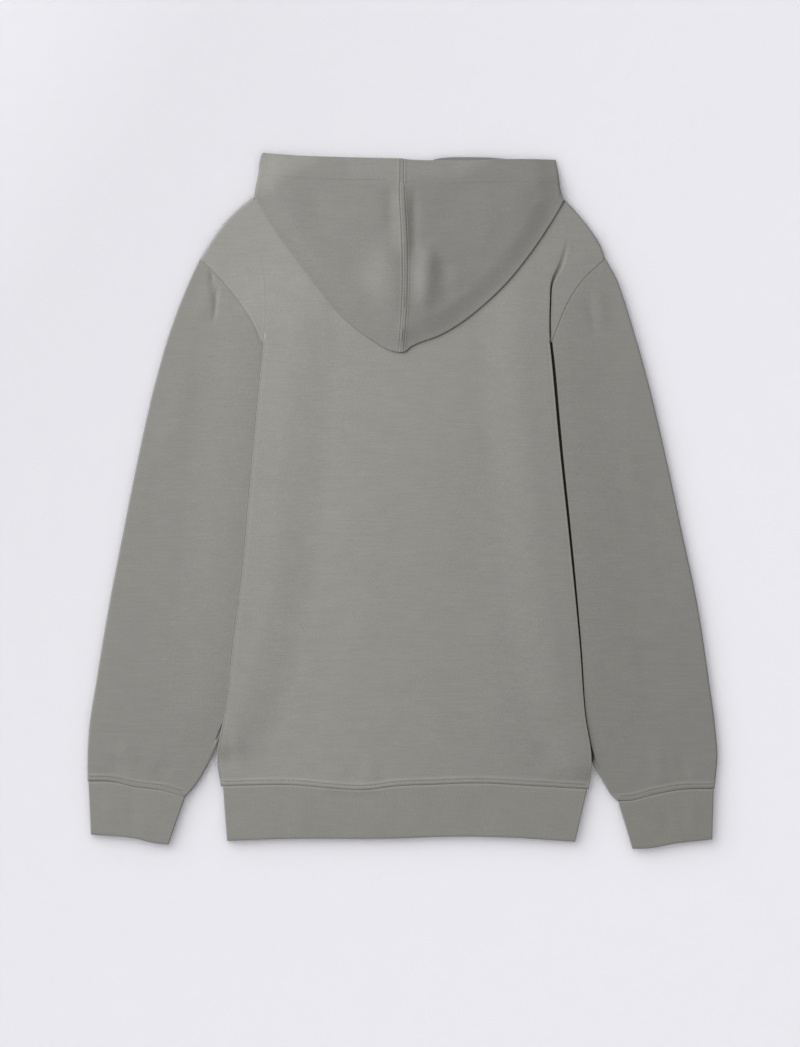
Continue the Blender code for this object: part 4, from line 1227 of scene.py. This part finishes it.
def knit(name, colour, dark, mottle, streak, cloud, relief):
    """Knitted cloth: fibres mottled light and dark, faint streaks across it, a fine relief, and the painted
    light and shade of its points.
    """
    material, tree, shader = surface(name)
    fibre = noise(tree, FIBRES, detail=3, rough=0.7)
    slub = noise(tree, SLUBS, stretch=(0.09, 1, 1), rough=0.6)
    clouds = noise(tree, CLOUDS, detail=3)
    fibres = remap(tree, fibre, 0.25, 0.75, 0.5 - mottle, 0.5 + mottle)
    shade = blend(tree, "MIX", fibres, (*dark, 1), (*colour, 1))
    shade = times(tree, shade, remap(tree, slub, 0.3, 0.7, 1 - streak, 1 + streak))
    shade = times(tree, shade, remap(tree, clouds, 0.3, 0.7, 1 - cloud, 1 + cloud))
    # the painted light and shade that the points carry
    shade = times(tree, shade, node(tree, "ShaderNodeAttribute", {}, attribute_name="shade").outputs["Fac"])
    normal = bumped(tree, slub, SLUB_RELIEF, relief)
    connect(tree, shader, {
        "Base Color": shade,
        "Normal": bumped(tree, fibre, FIBRE_RELIEF, relief, normal),
        "Roughness": 0.95,
        "Specular IOR Level": 0.25,
        "Sheen Weight": 0.12,
        "Sheen Roughness": 0.6,
    })
    return material


def paper(name, colour, glow):
    """The floor's matte surface: a faint grain, and darker towards the lamp, to look evenly lit."""
    material, tree, shader = surface(name)
    ends = {0: own_place(tree), 1: KEY_PLACE}
    away = node(tree, "ShaderNodeVectorMath", ends, operation="DISTANCE").outputs["Value"]
    near = maths(tree, "POWER", away, -KEY_FALL)
    light = maths(tree, "MULTIPLY_ADD", near, KEY_SHARE * Vector(KEY_PLACE).length**KEY_FALL, 1 - KEY_SHARE)
    shade = maths(tree, "MINIMUM", maths(tree, "DIVIDE", 1, light), FLOOR_SHADES[1])
    shade = maths(tree, "MAXIMUM", shade, FLOOR_SHADES[0])
    grain = remap(tree, noise(tree, GRAIN), 0.3, 0.7, 0.997, 1.003)
    connect(tree, shader, {
        "Base Color": times(tree, (*colour, 1), maths(tree, "MULTIPLY", shade, grain)),
        "Roughness": 1.0,
        "Specular IOR Level": 0.0,
        "Subsurface Weight": 1.0,
        "Subsurface Radius": (1, 1, 1),
        "Subsurface Scale": FLOOR_SOFTNESS,
        "Emission Color": (*glow, 1),
        "Emission Strength": 1.0,
    })
    return material


# The garment
COLOURS = {  # of the light and dark fibres
    "jersey": ((0.259, 0.254, 0.235), (0.198, 0.194, 0.18)),
    # the same jersey, darker on the sleeves and the hood's halves (most on the right) as painted shade
    "jersey_sleeve": ((0.239, 0.234, 0.216), (0.182, 0.178, 0.165)),
    "jersey_hood_left": ((0.236, 0.231, 0.214), (0.18, 0.176, 0.163)),
    "jersey_hood_right": ((0.213, 0.21, 0.197), (0.162, 0.16, 0.15)),
    "rib": ((0.244, 0.239, 0.219), (0.186, 0.182, 0.166)),
    # the cuffs' rib, lighter on the hem band as painted light
    "rib_hem": ((0.256, 0.251, 0.23), (0.195, 0.191, 0.174)),
    # thread lighter than the hood on the casing, as painted light on its stitches
    "thread_casing": ((0.285, 0.28, 0.26), (0.22, 0.216, 0.2)),
    # the other thread, far darker than the cloth, as painted shade round its stitches
    "thread": ((0.13, 0.127, 0.117), (0.10, 0.098, 0.09)),
}
KNITS = {  # (mottle of the fibres, streaks, clouds, relief)
    "jersey": (0.45, 0.03, 0.02, 0.5),
    "rib": (0.4, 0.02, 0.02, 0.45),
    "thread": (0.3, 0.02, 0.02, 0.2),
}


def dress(piece, node_name):
    """Attaches a piece of cloth to the root, and hides the CAD node that it stands for."""
    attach(piece, "root")
    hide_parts(node_name)


def make_garment():
    cloth = {name: knit(name, *pair, *KNITS[name.split("_")[0]]) for name, pair in COLOURS.items()}
    front = add_cloth("cloth_front", [front_grid()], cloth["jersey"])
    dress(front, "front_panel")
    back = add_cloth("cloth_back", [back_grid()], cloth["jersey"])
    dress(back, "back_panel")
    hem_seam = inset_ends(hem_line(-SEAM / 2), *HEM_IN)
    hem = add_band("cloth_hem", "hem_band", hem_seam, along(HEM_EDGE, even(PANEL_STEPS)), cloth["rib_hem"])
    dress(hem, "hem_band")
    sewn = [add_stitches("stitches_hem", back, hem_line(TOPSTITCH)[1:-1], cloth["thread"])]

    for side, way in OUTWARD.items():
        sleeve = add_cloth("cloth_sleeve_" + side, [sleeve_grid(side)], cloth["jersey_sleeve"], closed=True)
        dress(sleeve, "sleeve_" + side)
        seam = inset_ends(cuff_line(side, -CUFF_GAP), *CUFF_IN)
        edge = along(CUFF_EDGE[side], even(CUFF_STEPS))
        cuff = add_band("cloth_cuff_" + side, "cuff_" + side, seam, edge, cloth["rib"])
        dress(cuff, "cuff_" + side)
        row = cuff_line(side, TOPSTITCH)[1:-2]
        sewn.append(add_stitches("stitches_cuff_" + side, sleeve, row, cloth["thread"]))
        hood = add_cloth("cloth_hood_" + side, hood_grids(side), cloth["jersey_hood_" + side])
        dress(hood, "hood_" + side)
        sewn.append(add_stitches("stitches_hood_" + side, hood, seam_twin(way), cloth["thread"]))
        casing = casing_line(side)
        sewn.append(add_stitches("stitches_casing_" + side, hood, casing, cloth["thread_casing"]))
    for piece in sewn:
        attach(piece, "root")


# The stage

KEY_PLACE = (-1.8, 1.35, 1.6)  # metres
KEY_SIZE = 3.0
KEY_POWER = 130
KEY_SHARE = 0.5  # of the light at the garment's middle
KEY_FALL = 2.6  # power of the distance by which its light on the floor falls
WORLD_STRENGTH = 0.42
FLOOR_SOFTNESS = 0.035  # metres that light spreads within the floor
FLOOR_SHADES = (0.82, 1.3)  # least and most of its colour
FLOOR_HALF = 4  # metres
FLOOR_COLOUR = (0.67, 0.6633, 0.6955)
FLOOR_GLOW = (0.11, 0.109, 0.1145)
PIXEL = 1.1  # mm of the garment across one pixel of the photo
PHOTO_HEIGHT = 1047  # pixels
VIEW_MIDDLE = (-2.64, -24.2)  # plan point at the middle of the photo
VIEW_HEIGHT = 4.0  # metres above the floor


def add_lamp():
    """A square lamp, turned to the garment's middle."""
    data = bpy.data.lights.new("key", "AREA")
    data.energy = KEY_POWER
    data.shape = "SQUARE"
    data.size = KEY_SIZE
    lamp = placed("key", data, KEY_PLACE)
    lamp.rotation_euler = (-Vector(KEY_PLACE)).to_track_quat("-Z", "Y").to_euler()


def make_stage():
    scene = bpy.context.scene
    corners = [(x * FLOOR_HALF, y * FLOOR_HALF, 0) for x, y in ((-1, -1), (1, -1), (1, 1), (-1, 1))]
    mesh = bpy.data.meshes.new("floor")
    mesh.from_pydata(corners, [], [(0, 1, 2, 3)])
    mesh.materials.append(paper("floor", FLOOR_COLOUR, FLOOR_GLOW))
    floor = placed("floor", mesh)

    world = bpy.data.worlds.new("studio")
    world.use_nodes = True
    world.node_tree.nodes["Background"].inputs["Color"].default_value = (1, 1, 1, 1)
    world.node_tree.nodes["Background"].inputs["Strength"].default_value = WORLD_STRENGTH
    scene.world = world
    add_lamp()

    data = bpy.data.cameras.new("camera")
    data.sensor_fit = "VERTICAL"
    data.sensor_height = 36
    data.lens = data.sensor_height * VIEW_HEIGHT / (PHOTO_HEIGHT * PIXEL * MM)
    data.clip_end = 20
    x, y = ((VIEW_MIDDLE[i] - MIDDLE[i]) * MM for i in range(2))
    scene.camera = placed("camera", data, (x, y, VIEW_HEIGHT))
    scene.view_settings.view_transform = "Standard"


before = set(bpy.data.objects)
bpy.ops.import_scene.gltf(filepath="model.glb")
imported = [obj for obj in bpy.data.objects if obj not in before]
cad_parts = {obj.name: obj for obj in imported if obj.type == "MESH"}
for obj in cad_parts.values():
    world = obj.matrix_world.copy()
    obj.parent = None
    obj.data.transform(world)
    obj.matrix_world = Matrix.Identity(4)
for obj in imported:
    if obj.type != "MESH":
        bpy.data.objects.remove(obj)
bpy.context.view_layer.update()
make_stage()
make_garment()
